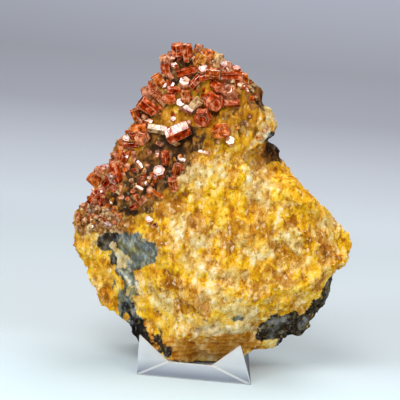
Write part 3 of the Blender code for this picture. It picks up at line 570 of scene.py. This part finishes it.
def finished_rock():
    """The rock with its grain, and how much of each stone shows, as attributes."""
    rock = broken_rock()
    mesh = rock.data
    shares = stone_shares(mesh.vertices)
    heights = []
    for i, vertex in enumerate(mesh.vertices):
        heights.append(fine_relief(vertex.co, {kind: shares[kind][i] for kind in shares}))
    settle(rock, [v.co + v.normal * height for v, height in zip(mesh.vertices, heights)])
    shares["crusty"] = np.clip(1.0 - sum(shares[kind] for kind in BARE_STONES), 0.0, 1.0)
    shares["height"] = np.clip(0.5 + np.array(heights) / SUGAR_HEIGHT, 0.0, 1.0)
    for name, values in shares.items():
        mesh.attributes.new(name, "FLOAT", "POINT").data.foreach_set("value", values)
    edit(rock)
    bpy.ops.mesh.bisect(
        plane_co=(0.0, 0.0, FOOT_HEIGHT), plane_no=(0.0, 0.0, 1.0), use_fill=True, clear_inner=True)
    done()
    only(rock)
    bpy.ops.object.shade_smooth_by_angle(angle=math.radians(50))
    return rock


# ---- the crystals ----------------------------------------------------------------------------
def prism(sides):
    """A hexagonal prism, 1 across and 1 long, with the widths that its sides have on the way."""
    hexagon = [(0.5 * math.cos(turn), 0.5 * math.sin(turn))
               for turn in (math.radians(60 * i + 30) for i in range(6))]
    obj = drawn_out(hexagon, sides)
    obj.data.transform(Matrix.Rotation(math.radians(-90), 4, "X"))
    return obj


def habit(number, rim, drop, boss, sides):
    """A grown crystal, 1 across and 1 long: its ends have a rim, a step down and a boss."""
    obj = prism(sides)
    edit(obj)
    bpy.ops.transform.vertex_random(offset=UNEVEN, seed=number)
    done()
    pick(obj, "FACE", lambda face: abs(face.normal.z) > END_FACING)
    steps = ((rim, 0.0), (STEP_WIDTH, -drop), (HOLLOW_WIDTH, 0.0), (STEP_WIDTH, boss))
    for thickness, depth in steps:
        bpy.ops.mesh.inset(thickness=thickness, depth=depth, use_individual=True)
    done()
    modify(obj, "BEVEL", width=WORN_WIDTH, segments=1, limit_method="ANGLE",
           angle_limit=math.radians(30))
    return obj


def mark_worn_and_highlit(obj):
    """Marks the narrow faces that its edges have become, which are painted pale for wear and as a
    painted highlight, most of all outside.
    """
    worn_and_highlit = []
    for face in obj.data.polygons:
        turn = (math.degrees(math.atan2(face.normal.y, face.normal.x)) + 30) % 60 - 30
        squarely = abs(face.normal.z) > 0.98 or (abs(face.normal.z) < 0.5 and abs(turn) < 8)
        outside = face.center.xy.length > OUTER_EDGE
        worn_and_highlit.append(0.0 if squarely else 1.0 if outside else PALE_EDGE_INSIDE)
    obj.data.attributes.new("worn_and_highlit", "FLOAT", "FACE").data.foreach_set("value", worn_and_highlit)


def crystal_axis(lean, out):
    lean, out = math.radians(lean), math.radians(out)
    return Vector((math.cos(out) * math.cos(lean), -math.sin(out), math.cos(out) * math.sin(lean)))


def seat(tree, x, z, side, reach):
    """Where the rock's face lies at x and z, or a place up to reach off its nearest edge.

    side is -1 for the front and 1 for the back.
    """
    hit = tree.ray_cast(Vector((x, side * CLEAR_OF_ROCK, z)), Vector((0.0, -side, 0.0)))[0]
    if hit is None:
        hit = tree.find_nearest(Vector((x, side * EDGE_DEPTH, z)))[0]
        off = Vector((x - hit.x, 0.0, z - hit.z))
        hit += off * min(1.0, reach / off.length)
    return hit


def linear(code):
    """An sRGB hex code as a linear colour."""
    parts = [int(code[i:i + 2], 16) / 255 for i in (0, 2, 4)]
    return [c / 12.92 if c <= 0.04045 else ((c + 0.055) / 1.055) ** 2.4 for c in parts] + [1.0]


def crystal(habits, tree, row, draw, sink=0.0):
    """A crystal of one of the lists' rows, and its middle."""
    x, z, across, length, lean, out, spin, tone = row
    axis = crystal_axis(lean, out)
    side = 1 if out < 0 else -1
    middle = seat(tree, x, z, side, EDGE_REACH * across)
    middle.y += side * (PROUD - sink) * across
    flat = Vector(UPPER_FRONT)
    flat -= axis * flat.dot(axis)
    if flat.length < NEARLY_END_ON:
        flat = axis.orthogonal()
    flat = Matrix.Rotation(math.radians(spin), 3, axis) @ flat.normalized()
    turn = Matrix((flat, axis.cross(flat), axis)).transposed().to_4x4()
    obj = copied(draw.choice(habits))
    mesh = obj.data
    mesh.transform(Matrix.Diagonal((across, across, length, 1.0)))
    own = Vector([draw.uniform(-100, 100) for _ in range(3)])
    grown = [c for v in mesh.vertices for c in v.co + own]
    mesh.attributes.new("grown", "FLOAT_VECTOR", "POINT").data.foreach_set("vector", grown)
    shade = draw.uniform(*SHADES)
    colour = [c * shade for c in linear(TONES[tone])[:3]] + [1.0]
    colours = mesh.attributes.new("tone", "FLOAT_COLOR", "POINT").data
    colours.foreach_set("color", colour * len(mesh.vertices))
    mesh.transform(Matrix.Translation(middle) @ turn)
    return obj, middle


def strewn_row(draw, bed, sizes, longer, outs):
    """A crystal's row, all but its tone, for a place drawn at random in a bed."""
    x, z, long, wide, turn = bed
    turn = math.radians(turn)
    angle, reach = draw.uniform(0.0, math.tau), math.sqrt(draw.random())
    along, aside = long * reach * math.cos(angle), wide * reach * math.sin(angle)
    across = draw.uniform(*sizes)
    return (x + along * math.cos(turn) - aside * math.sin(turn),
            z + along * math.sin(turn) + aside * math.cos(turn), across,
            across * draw.uniform(*longer), draw.uniform(0.0, 360.0), draw.uniform(*outs),
            draw.uniform(0.0, 60.0))


def druse_rows():
    draw = random.Random(DRUSE_SEED)
    rows = [strewn_row(draw, (x, z, radius, radius, 0.0), DRUSE_ACROSS, DRUSE_LONGER, DRUSE_OUT)
            for x, z, radius, count in DRUSE for _ in range(count)]
    tones = SEED_TONES["weathered"]
    return [row + (tones[i % len(tones)],) for i, row in enumerate(rows)]


def seed_rows():
    """Seed crystals that fill in between the others."""
    draw = random.Random(SEED_DRAW)
    return [strewn_row(draw, bed, SEED_ACROSS, SEED_LONGER, SEED_OUT)
            + (draw.choice(SEED_TONES[tones]),)
            for *bed, count, tones in SEED_BEDS for _ in range(count)]


def node_trees():
    """A tree of each crystal group's solid, to tell which group a crystal belongs to."""
    trees = {}
    for name, obj in frame["nodes"].items():
        if name.startswith("vanadinite"):
            mesh = obj.data
            places = [(v.co - STAND_CENTRE) / MM for v in mesh.vertices]
            trees[name] = BVHTree.FromPolygons(places, [face.vertices[:] for face in mesh.polygons])
    return trees


# ---- the stand -------------------------------------------------------------------------------
def moulded_stand():
    """The stand's solid with its uneven horns, and its edges rounded as they leave the mould."""
    stand = copied(frame["nodes"]["display_stand"])
    del stand["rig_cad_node"]
    edit(stand)
    bpy.ops.mesh.remove_doubles(threshold=MERGE)
    bpy.ops.mesh.dissolve_limited(angle_limit=math.radians(1))
    done()
    stand.parent = None
    stand.data.transform(Matrix.Scale(1 / MM, 4) @ Matrix.Translation(-STAND_CENTRE))
    for low, high, shift in STAND_SHIFTS:
        pick(stand, "VERT", lambda v: all(a < b < c for a, b, c in zip(low, v.co, high)))
        bpy.ops.transform.translate(value=shift)
        done()
    flats = [face.normal.copy() for face in stand.data.polygons]
    modify(stand, "BEVEL", width=STAND_EDGE, segments=3, limit_method="ANGLE",
           angle_limit=math.radians(12))
    # The rounded edges' faces, which the finish paints near white as a painted highlight.
    rims = [min(face.normal.angle(flat) for flat in flats) > RIM_TURN
            for face in stand.data.polygons]
    stand.data.attributes.new("rim", "FLOAT", "FACE").data.foreach_set("value", rims)
    only(stand)
    bpy.ops.object.shade_smooth_by_angle(angle=math.radians(40))
    return stand


# ---- loose grains ----------------------------------------------------------------------------
def grain_shapes():
    """Grains of crust, 1 across: broken bits of calcite and knobs of limonite."""
    shapes = bpy.data.collections.new("grain_shapes")
    bpy.context.scene.collection.children.link(shapes)
    for number, (wide, flat) in enumerate(GRAIN_SHAPES):
        bpy.ops.mesh.primitive_ico_sphere_add(subdivisions=1, radius=0.5)
        grain = bpy.context.object
        edit(grain)
        bpy.ops.transform.resize(value=(wide, 1.0, flat), center_override=(0.0, 0.0, 0.0))
        bpy.ops.transform.vertex_random(offset=GRAIN_UNEVEN, seed=number)
        done()
        for collection in grain.users_collection:
            collection.objects.unlink(grain)
        shapes.objects.link(grain)
    return shapes


def fill(tree, node, inputs):
    """Sets or links a node's inputs. A node given as a value stands for its first output."""
    for key, value in dict(inputs).items():
        if isinstance(value, bpy.types.Node):
            value = value.outputs[0]
        if isinstance(value, bpy.types.NodeSocket):
            tree.links.new(value, node.inputs[key])
        else:
            node.inputs[key].default_value = value


def add(tree, kind, inputs=(), stops=(), **settings):
    """Adds a node with its settings and inputs; stops are a ramp's colours."""
    node = tree.nodes.new(kind)
    for key, value in settings.items():
        setattr(node, key, value)
    fill(tree, node, inputs)
    for i, (place, code) in enumerate(stops):
        elements = node.color_ramp.elements
        stop = elements[i] if i < 2 else elements.new(place)
        stop.position, stop.color = place, linear(code)
    return node


def strewn(ground, shapes, name, allowed):
    """Grains strewn over the rock where an attribute allows, as one mesh."""
    tree = bpy.data.node_groups.new(name, "GeometryNodeTree")
    tree.interface.new_socket("Ground", in_out="INPUT", socket_type="NodeSocketGeometry")
    tree.interface.new_socket("Grains", in_out="OUTPUT", socket_type="NodeSocketGeometry")
    where = add(tree, "NodeGroupInput")
    share = add(tree, "GeometryNodeInputNamedAttribute", {"Name": allowed}, data_type="FLOAT")
    points = add(tree, "GeometryNodeDistributePointsOnFaces", {
        "Mesh": where, "Distance Min": GRAIN_SPACING, "Density Max": GRAINS_PER_MM2,
        "Density Factor": share, "Seed": GRAIN_DRAW}, distribute_method="POISSON")
    kinds = add(tree, "GeometryNodeCollectionInfo", {
        "Collection": shapes, "Separate Children": True, "Reset Children": True})
    spin = add(tree, "FunctionNodeRandomValue", {
        0: (0.0, 0.0, 0.0), 1: (math.tau,) * 3, "Seed": GRAIN_DRAW},
        data_type="FLOAT_VECTOR")
    size = add(tree, "FunctionNodeRandomValue", {
        2: GRAIN_ACROSS[0], 3: GRAIN_ACROSS[1], "Seed": GRAIN_DRAW + 1}, data_type="FLOAT")
    grains = add(tree, "GeometryNodeInstanceOnPoints", {
        "Points": points, "Instance": kinds, "Pick Instance": True, "Rotation": spin,
        "Scale": size.outputs[1]})
    luck = add(tree, "FunctionNodeRandomValue", {2: 0.0, 3: 1.0, "Seed": GRAIN_DRAW + 2},
               data_type="FLOAT")
    named = add(tree, "GeometryNodeStoreNamedAttribute", {
        "Geometry": grains, "Name": "luck", "Value": luck.outputs[1]},
        data_type="FLOAT", domain="INSTANCE")
    real = add(tree, "GeometryNodeRealizeInstances", {"Geometry": named})
    add(tree, "NodeGroupOutput", {0: real})
    grains = copied(ground)
    modify(grains, "NODES", node_group=tree)
    return grains


# ---- materials -------------------------------------------------------------------------------
MIX_A, MIX_B, MIXED = 6, 7, 2     # a colour Mix node's sockets


def per(size):
    """The scale at which a texture's cells measure a size in millimetres."""
    return 1.0 / (size * MM)


def surface(name):
    material = bpy.data.materials.new(name)
    material.use_nodes = True
    return material.node_tree, material.node_tree.nodes["Principled BSDF"], material


def noisy(tree, place, size, detail, roughness):
    """Three patterns of one grain size, each about 0 and mostly within 0.2 of it."""
    texture = add(tree, "ShaderNodeTexNoise", {
        "Vector": place, "Scale": per(size), "Detail": detail, "Roughness": roughness})
    centred = add(tree, "ShaderNodeVectorMath", {
        0: texture.outputs["Color"], 1: (0.5, 0.5, 0.5)}, operation="SUBTRACT")
    return centred.outputs["Vector"]


def stone_finish(name, loose=False):
    """Limonite and calcite crust on a dark, iron-stained matrix.

    Dull all over. The crust is grains of golden limonite and cream calcite, and each kind of
    stone has three colours of its own that its grain runs through.
    """
    tree, bsdf, material = surface(name)
    place = add(tree, "ShaderNodeTexCoord").outputs["Object"]
    drawn = add(tree, "ShaderNodeMapping", {
        "Vector": place, "Rotation": (0.0, math.radians(15), 0.0), "Scale": (1.0, 1.0, 0.65)})
    place = drawn.outputs["Vector"]
    broad = noisy(tree, place, 6.0, 3.0, 0.5)
    medium = noisy(tree, place, 2.8, 3.0, 0.6)
    fine = noisy(tree, place, 1.0, 3.0, 0.65)
    bent = add(tree, "ShaderNodeVectorMath", {
        0: fine, 1: (0.8 * MM,) * 3, 2: place}, operation="MULTIPLY_ADD")
    grains = add(tree, "ShaderNodeTexVoronoi", {"Vector": bent, "Scale": per(1.4)})
    luck = add(tree, "ShaderNodeSeparateColor", {"Color": grains.outputs["Color"]})
    height = add(tree, "ShaderNodeAttribute", attribute_name="luck" if loose else "height")
    pattern = add(tree, "ShaderNodeVectorMath", {
        0: fine, 1: (0.8, 0.8, 0.8), 2: (0.0, 0.0, 0.0)}, operation="MULTIPLY_ADD")
    pattern = add(tree, "ShaderNodeVectorMath", {
        0: medium, 1: (1.7, 1.7, 1.7), 2: pattern}, operation="MULTIPLY_ADD")
    patterns = add(tree, "ShaderNodeSeparateXYZ", {"Vector": pattern}).outputs
    level = add(tree, "ShaderNodeMath", {
        0: luck.outputs["Red"], 1: 0.32, 2: patterns[0]}, operation="MULTIPLY_ADD")
    level = add(tree, "ShaderNodeMath", {
        0: height.outputs["Fac"], 1: 0.3, 2: level}, operation="MULTIPLY_ADD")
    level = add(tree, "ShaderNodeMath", {0: level, 1: 0.2})
    wander = add(tree, "ShaderNodeSeparateXYZ", {"Vector": broad}).outputs[0]
    crust_level = add(tree, "ShaderNodeMath", {0: level, 1: wander})
    colour = add(tree, "ShaderNodeValToRGB", {"Fac": crust_level}, stops=[
        (0.05, "9C5E04"), (1.0, "FCECD0"), (0.25, "CE920A"), (0.5, "F0C21C"), (0.75, "F8DA88")])
    calcite = add(tree, "ShaderNodeValToRGB", {"Fac": level}, stops=[
        (0.05, "A0661C"), (0.95, "FCEAD0"), (0.35, "D8A048"), (0.65, "F2D294")])
    clots = add(tree, "ShaderNodeSeparateXYZ", {"Vector": noisy(tree, place, 3.4, 3.0, 0.6)}).outputs
    clots = add(tree, "ShaderNodeMapRange", {
        "Value": clots[1], "From Min": -0.01, "From Max": 0.06, "To Max": 0.85})
    colour = add(tree, "ShaderNodeMix", {
        0: clots, MIX_A: colour,
        MIX_B: calcite}, data_type="RGBA").outputs[MIXED]
    kinds = [("stained", ("643806", "B0700C", "DC9C30"), 0.75)]
    kinds += [(kind, colours, cover) for kind, (colours, _, cover) in STONES.items()]
    for number, (kind, (low, middle, high), cover) in enumerate(kinds):
        share = add(tree, "ShaderNodeAttribute", attribute_name=kind)
        share = add(tree, "ShaderNodeMath", {0: share.outputs["Fac"], 1: patterns[number % 3]})
        mask = add(tree, "ShaderNodeMapRange", {
            "Value": share, "From Min": 0.42, "From Max": 0.58, "To Max": cover})
        own = add(tree, "ShaderNodeValToRGB", {"Fac": level}, stops=[
            (0.1, low), (0.9, high), (0.5, middle)])
        mixed = add(tree, "ShaderNodeMix", {
            0: mask, MIX_A: colour, MIX_B: own},
            data_type="RGBA")
        colour = mixed.outputs[MIXED]
    # The pale specks are partly pale grains of the crust and partly a painted highlight, the sparkle
    # of small glints on the dark stone; the dark specks are the stone's own.
    specks = add(tree, "ShaderNodeTexVoronoi", {"Vector": bent, "Scale": per(0.5)})
    specks = add(tree, "ShaderNodeSeparateColor", {"Color": specks.outputs["Color"]}).outputs
    crusty = add(tree, "ShaderNodeAttribute", attribute_name="crusty")
    strength = add(tree, "ShaderNodeMapRange", {
        "Value": crusty.outputs["Fac"], "To Min": 0.15, "To Max": 0.5})
    for speck, code in zip(specks, ("FCE8C4", "82460E")):
        mask = add(tree, "ShaderNodeMapRange", {
            "Value": speck, "From Min": 0.9, "From Max": 0.97,
            "To Max": strength})
        colour = add(tree, "ShaderNodeMix", {
            0: mask, MIX_A: colour, MIX_B: linear(code)},
            data_type="RGBA").outputs[MIXED]
    # Painted shade: the borders between the crust's grains are darkened with a warm tint, as if
    # shaded in their crevices; the same mask also lowers the bump there.
    crevice_shade_mask = add(tree, "ShaderNodeMapRange", {
        "Value": grains, "From Min": 0.3, "From Max": 0.8})
    colour = add(tree, "ShaderNodeMix", {
        0: crevice_shade_mask, MIX_A: colour, MIX_B: linear("F0DC98")},
        data_type="RGBA", blend_type="MULTIPLY").outputs[MIXED]
    roughness = add(tree, "ShaderNodeMath", {
        0: crevice_shade_mask, 1: -0.3, 2: patterns[0]}, operation="MULTIPLY_ADD")
    bump = add(tree, "ShaderNodeBump", {
        "Height": roughness, "Strength": 0.8, "Distance": 0.35 * MM})
    fill(tree, bsdf, {
        "Base Color": colour, "Normal": bump, "Roughness": 0.7, "Specular IOR Level": 0.15})
    return material


def vanadinite_finish():
    """Vanadinite, grown in open cracks: adamantine faces, so it mirrors like dark resin.

    The inside is mottled, and the edges and frosted patches are painted peach: partly wear, partly a
    painted highlight.
    """
    tree, bsdf, material = surface("vanadinite_adamantine")
    tone = add(tree, "ShaderNodeAttribute", attribute_name="tone")
    grown = add(tree, "ShaderNodeAttribute", attribute_name="grown")
    worn_and_highlit = add(tree, "ShaderNodeAttribute", attribute_name="worn_and_highlit")
    cloudy = add(tree, "ShaderNodeTexNoise", {
        "Vector": grown.outputs["Vector"], "Scale": 1 / 1.3, "Detail": 3.0, "Roughness": 0.55})
    depth = add(tree, "ShaderNodeValToRGB", {"Fac": cloudy}, stops=[
        (0.32, "5A2C14"), (0.6, "FFFFFF"), (0.45, "BC9A84")])
    deep = add(tree, "ShaderNodeMix", {
        0: 1.0, MIX_A: tone, MIX_B: depth},
        data_type="RGBA", blend_type="MULTIPLY")
    bands = add(tree, "ShaderNodeMapping", {
        "Vector": grown.outputs["Vector"], "Scale": (0.4, 0.4, 6.0)})
    growth = add(tree, "ShaderNodeTexNoise", {
        "Vector": bands, "Scale": 1.0, "Detail": 2.0})
    frosted_and_highlit = add(tree, "ShaderNodeMapRange", {
        "Value": cloudy, "From Min": 0.54, "From Max": 0.66, "To Max": 0.5})
    chipped = add(tree, "ShaderNodeMapRange", {
        "Value": growth, "From Min": 0.35, "From Max": 0.6, "To Min": 0.15,
        "To Max": 0.85})
    edge = add(tree, "ShaderNodeMath", {
        0: worn_and_highlit.outputs["Fac"], 1: chipped, 2: frosted_and_highlit},
        operation="MULTIPLY_ADD", use_clamp=True)
    # Wear and painted highlight: the edges and frosted patches are mixed towards pale peach.
    pale = add(tree, "ShaderNodeMix", {
        0: edge, MIX_A: deep.outputs[MIXED], MIX_B: linear("F8C494")},
        data_type="RGBA")
    rough = add(tree, "ShaderNodeMapRange", {
        "Value": cloudy, "From Min": 0.35, "From Max": 0.7, "To Min": 0.05,
        "To Max": 0.2})
    bump = add(tree, "ShaderNodeBump", {
        "Height": growth, "Strength": 0.25, "Distance": 0.05 * MM})
    fill(tree, bsdf, {
        "Base Color": pale.outputs[MIXED], "Roughness": rough, "Normal": bump, "IOR": 2.2,
        "Subsurface Weight": 0.2, "Subsurface Radius": (1.0, 0.25, 0.08),
        "Subsurface Scale": 0.5 * MM})
    return material


def acrylic_finish():
    """Injection-moulded acrylic with a lightly matt skin: what is behind it blurs.

    It is painted darker blue-grey low down, a painted shade for the dark hollow seen through its
    walls, and its rims are painted near white, a painted highlight.
    """
    tree, bsdf, material = surface("frosted_acrylic")
    place = add(tree, "ShaderNodeTexCoord").outputs["Object"]
    skin = add(tree, "ShaderNodeTexNoise", {"Vector": place, "Scale": per(0.4), "Detail": 2.0})
    flow = add(tree, "ShaderNodeTexNoise", {"Vector": place, "Scale": per(7.0), "Detail": 2.0})
    rough = add(tree, "ShaderNodeMapRange", {
        "Value": flow, "From Min": 0.3, "From Max": 0.7, "To Min": 0.5,
        "To Max": 0.65})
    bump = add(tree, "ShaderNodeBump", {
        "Height": skin, "Strength": 0.1, "Distance": 0.05 * MM})
    up = add(tree, "ShaderNodeSeparateXYZ", {"Vector": place})
    # Painted shade: the body colour darkens towards the bottom, for the dark hollow seen through the
    # walls.
    up = add(tree, "ShaderNodeMapRange", {
        "Value": up.outputs["Z"], "From Min": 0.8 * MM, "From Max": 3.6 * MM})
    body = add(tree, "ShaderNodeMix", {
        0: up, MIX_A: linear("949CAC"), MIX_B: linear("DCE6F0")}, data_type="RGBA")
    # Painted highlight: the rounded edges are painted near white.
    rim = add(tree, "ShaderNodeAttribute", attribute_name="rim")
    body = add(tree, "ShaderNodeMix", {
        0: rim.outputs["Fac"], MIX_A: body.outputs[MIXED], MIX_B: linear("F2F5FA")},
        data_type="RGBA")
    fill(tree, bsdf, {
        "Base Color": body.outputs[MIXED], "Roughness": rough, "Normal": bump, "IOR": 1.49,
        "Transmission Weight": 0.25, "Specular IOR Level": 0.2, "Subsurface Weight": 0.8,
        "Subsurface Radius": (1.0, 1.0, 1.1), "Subsurface Scale": 4.0 * MM})
    return material


# ---- the studio ------------------------------------------------------------------------------
def aim(obj, place, target):
    obj.location = place
    obj.rotation_euler = (Vector(target) - Vector(place)).to_track_quat("-Z", "Y").to_euler()


def sweep_finish():
    tree, bsdf, material = surface("paper_sweep")
    place = add(tree, "ShaderNodeTexCoord").outputs["Object"]
    parts = add(tree, "ShaderNodeSeparateXYZ", {"Vector": place})
    run = add(tree, "ShaderNodeMath", {0: parts.outputs["Y"], 1: parts.outputs["Z"]})
    run = add(tree, "ShaderNodeMapRange", {
        "Value": run, "From Min": -0.1, "From Max": 0.7})
    # Painted shade: the paper darkens from the floor up the wall.
    colour = add(tree, "ShaderNodeValToRGB", {"Fac": run}, stops=SWEEP_SHADED_COLOURS)
    fill(tree, bsdf, {"Base Color": colour, "Roughness": 0.9, "Specular IOR Level": 0.1})
    return material


def studio():
    bpy.ops.mesh.primitive_plane_add(size=1.0)
    sweep = bpy.context.object
    sweep.name = "paper_sweep"
    for vertex in sweep.data.vertices:
        vertex.co = (math.copysign(SWEEP_REACH, vertex.co.x),
                     SWEEP_BACK if vertex.co.y > 0.0 else -SWEEP_REACH, 0.0)
    pick(sweep, "EDGE", lambda e: all(sweep.data.vertices[i].co.y > 0.0 for i in e.vertices))
    bpy.ops.mesh.extrude_region_move(TRANSFORM_OT_translate={"value": (0.0, 0.0, SWEEP_HEIGHT)})
    done()
    modify(sweep, "BEVEL", width=SWEEP_BEND, segments=24, limit_method="ANGLE")
    only(sweep)
    bpy.ops.object.shade_smooth()
    sweep.data.materials.append(sweep_finish())
    sweep.visible_glossy = False
    for name, place, size, power, mirrored in SOFTBOXES:
        light = bpy.data.lights.new(name, "AREA")
        light.shape, light.size, light.energy = "SQUARE", size, power
        box = bpy.data.objects.new(name, light)
        box.visible_glossy = mirrored
        bpy.context.collection.objects.link(box)
        aim(box, place, LIT_PLACE)
    world = bpy.data.worlds.new("studio")
    bpy.context.scene.world = world
    world.use_nodes = True
    background = world.node_tree.nodes["Background"]
    background.inputs["Color"].default_value = linear("DDE3EA")
    background.inputs["Strength"].default_value = 0.36
    world.cycles_visibility.glossy = False
    bpy.context.scene.view_settings.view_transform = "Standard"


def camera():
    """Level with the stand's front and tipped down, rolled a little, at portrait distance."""
    down, roll = math.radians(CAMERA_DOWN), math.radians(CAMERA_ROLL)
    ahead = Vector((0.0, math.cos(down), -math.sin(down)))
    upward = Vector((0.0, math.sin(down), math.cos(down)))
    sideways = Vector((1.0, 0.0, 0.0))
    right = sideways * math.cos(roll) + upward * math.sin(roll)
    top = upward * math.cos(roll) - sideways * math.sin(roll)
    data = bpy.data.cameras.new("camera")
    data.sensor_width = 36.0
    data.lens = data.sensor_width * CAMERA_DISTANCE / CAMERA_FIELD
    data.clip_start = 0.01
    cam = bpy.data.objects.new("camera", data)
    bpy.context.collection.objects.link(cam)
    place = Vector(CAMERA_TARGET) * MM + STAND_CENTRE - ahead * CAMERA_DISTANCE * MM
    cam.matrix_world = Matrix.Translation(place) @ Matrix((right, top, -ahead)).transposed().to_4x4()
    bpy.context.scene.camera = cam


# ---- putting it together ---------------------------------------------------------------------
def main():
    noise.seed_set(STONE_SEED)
    rock = finished_rock()
    tree = BVHTree.FromPolygons([v.co.copy() for v in rock.data.vertices],
                                [face.vertices[:] for face in rock.data.polygons])
    vanadinite = vanadinite_finish()
    habits = [habit(number, *steps) for number, steps in enumerate(HABITS)]
    seed = prism(SEED_SIDES)
    for shape in habits + [seed]:
        mark_worn_and_highlit(shape)
    draw = random.Random(CRYSTAL_DRAW)
    solids = node_trees()
    groups = {name: [] for name in solids}
    for row in CRYSTALS:
        obj, middle = crystal(habits, tree, row, draw)
        nearest = min(solids, key=lambda name: solids[name].find_nearest(middle)[3])
        groups[nearest].append(obj)
    for name, pieces in groups.items():
        hand_over(joined(pieces), name + "_crystals", vanadinite, "vanadinite", name)
    small = [crystal(habits, tree, row, draw, sink=SINK)[0] for row in SMALL_CRYSTALS + druse_rows()]
    hand_over(joined(small), "small_crystals", vanadinite, "vanadinite")
    seeds = [crystal([seed], tree, row, draw, sink=SEED_SINK)[0] for row in seed_rows()]
    hand_over(joined(seeds), "seed_crystals", vanadinite, "vanadinite")
    for shape in habits + [seed]:
        bpy.data.objects.remove(shape)
    shapes = grain_shapes()
    grains = strewn(rock, shapes, "crust_grains", "crusty")
    hand_over(grains, "crust_grains", stone_finish("limonite_grains", loose=True), "matrix_rock")
    for shape in list(shapes.objects):
        bpy.data.objects.remove(shape)
    bpy.data.collections.remove(shapes)
    hand_over(rock, "rock", stone_finish("limonite_crust"), "matrix_rock", "matrix")
    hand_over(moulded_stand(), "stand", acrylic_finish(), "stand_plastic", "display_stand")
    studio()
    camera()


main()
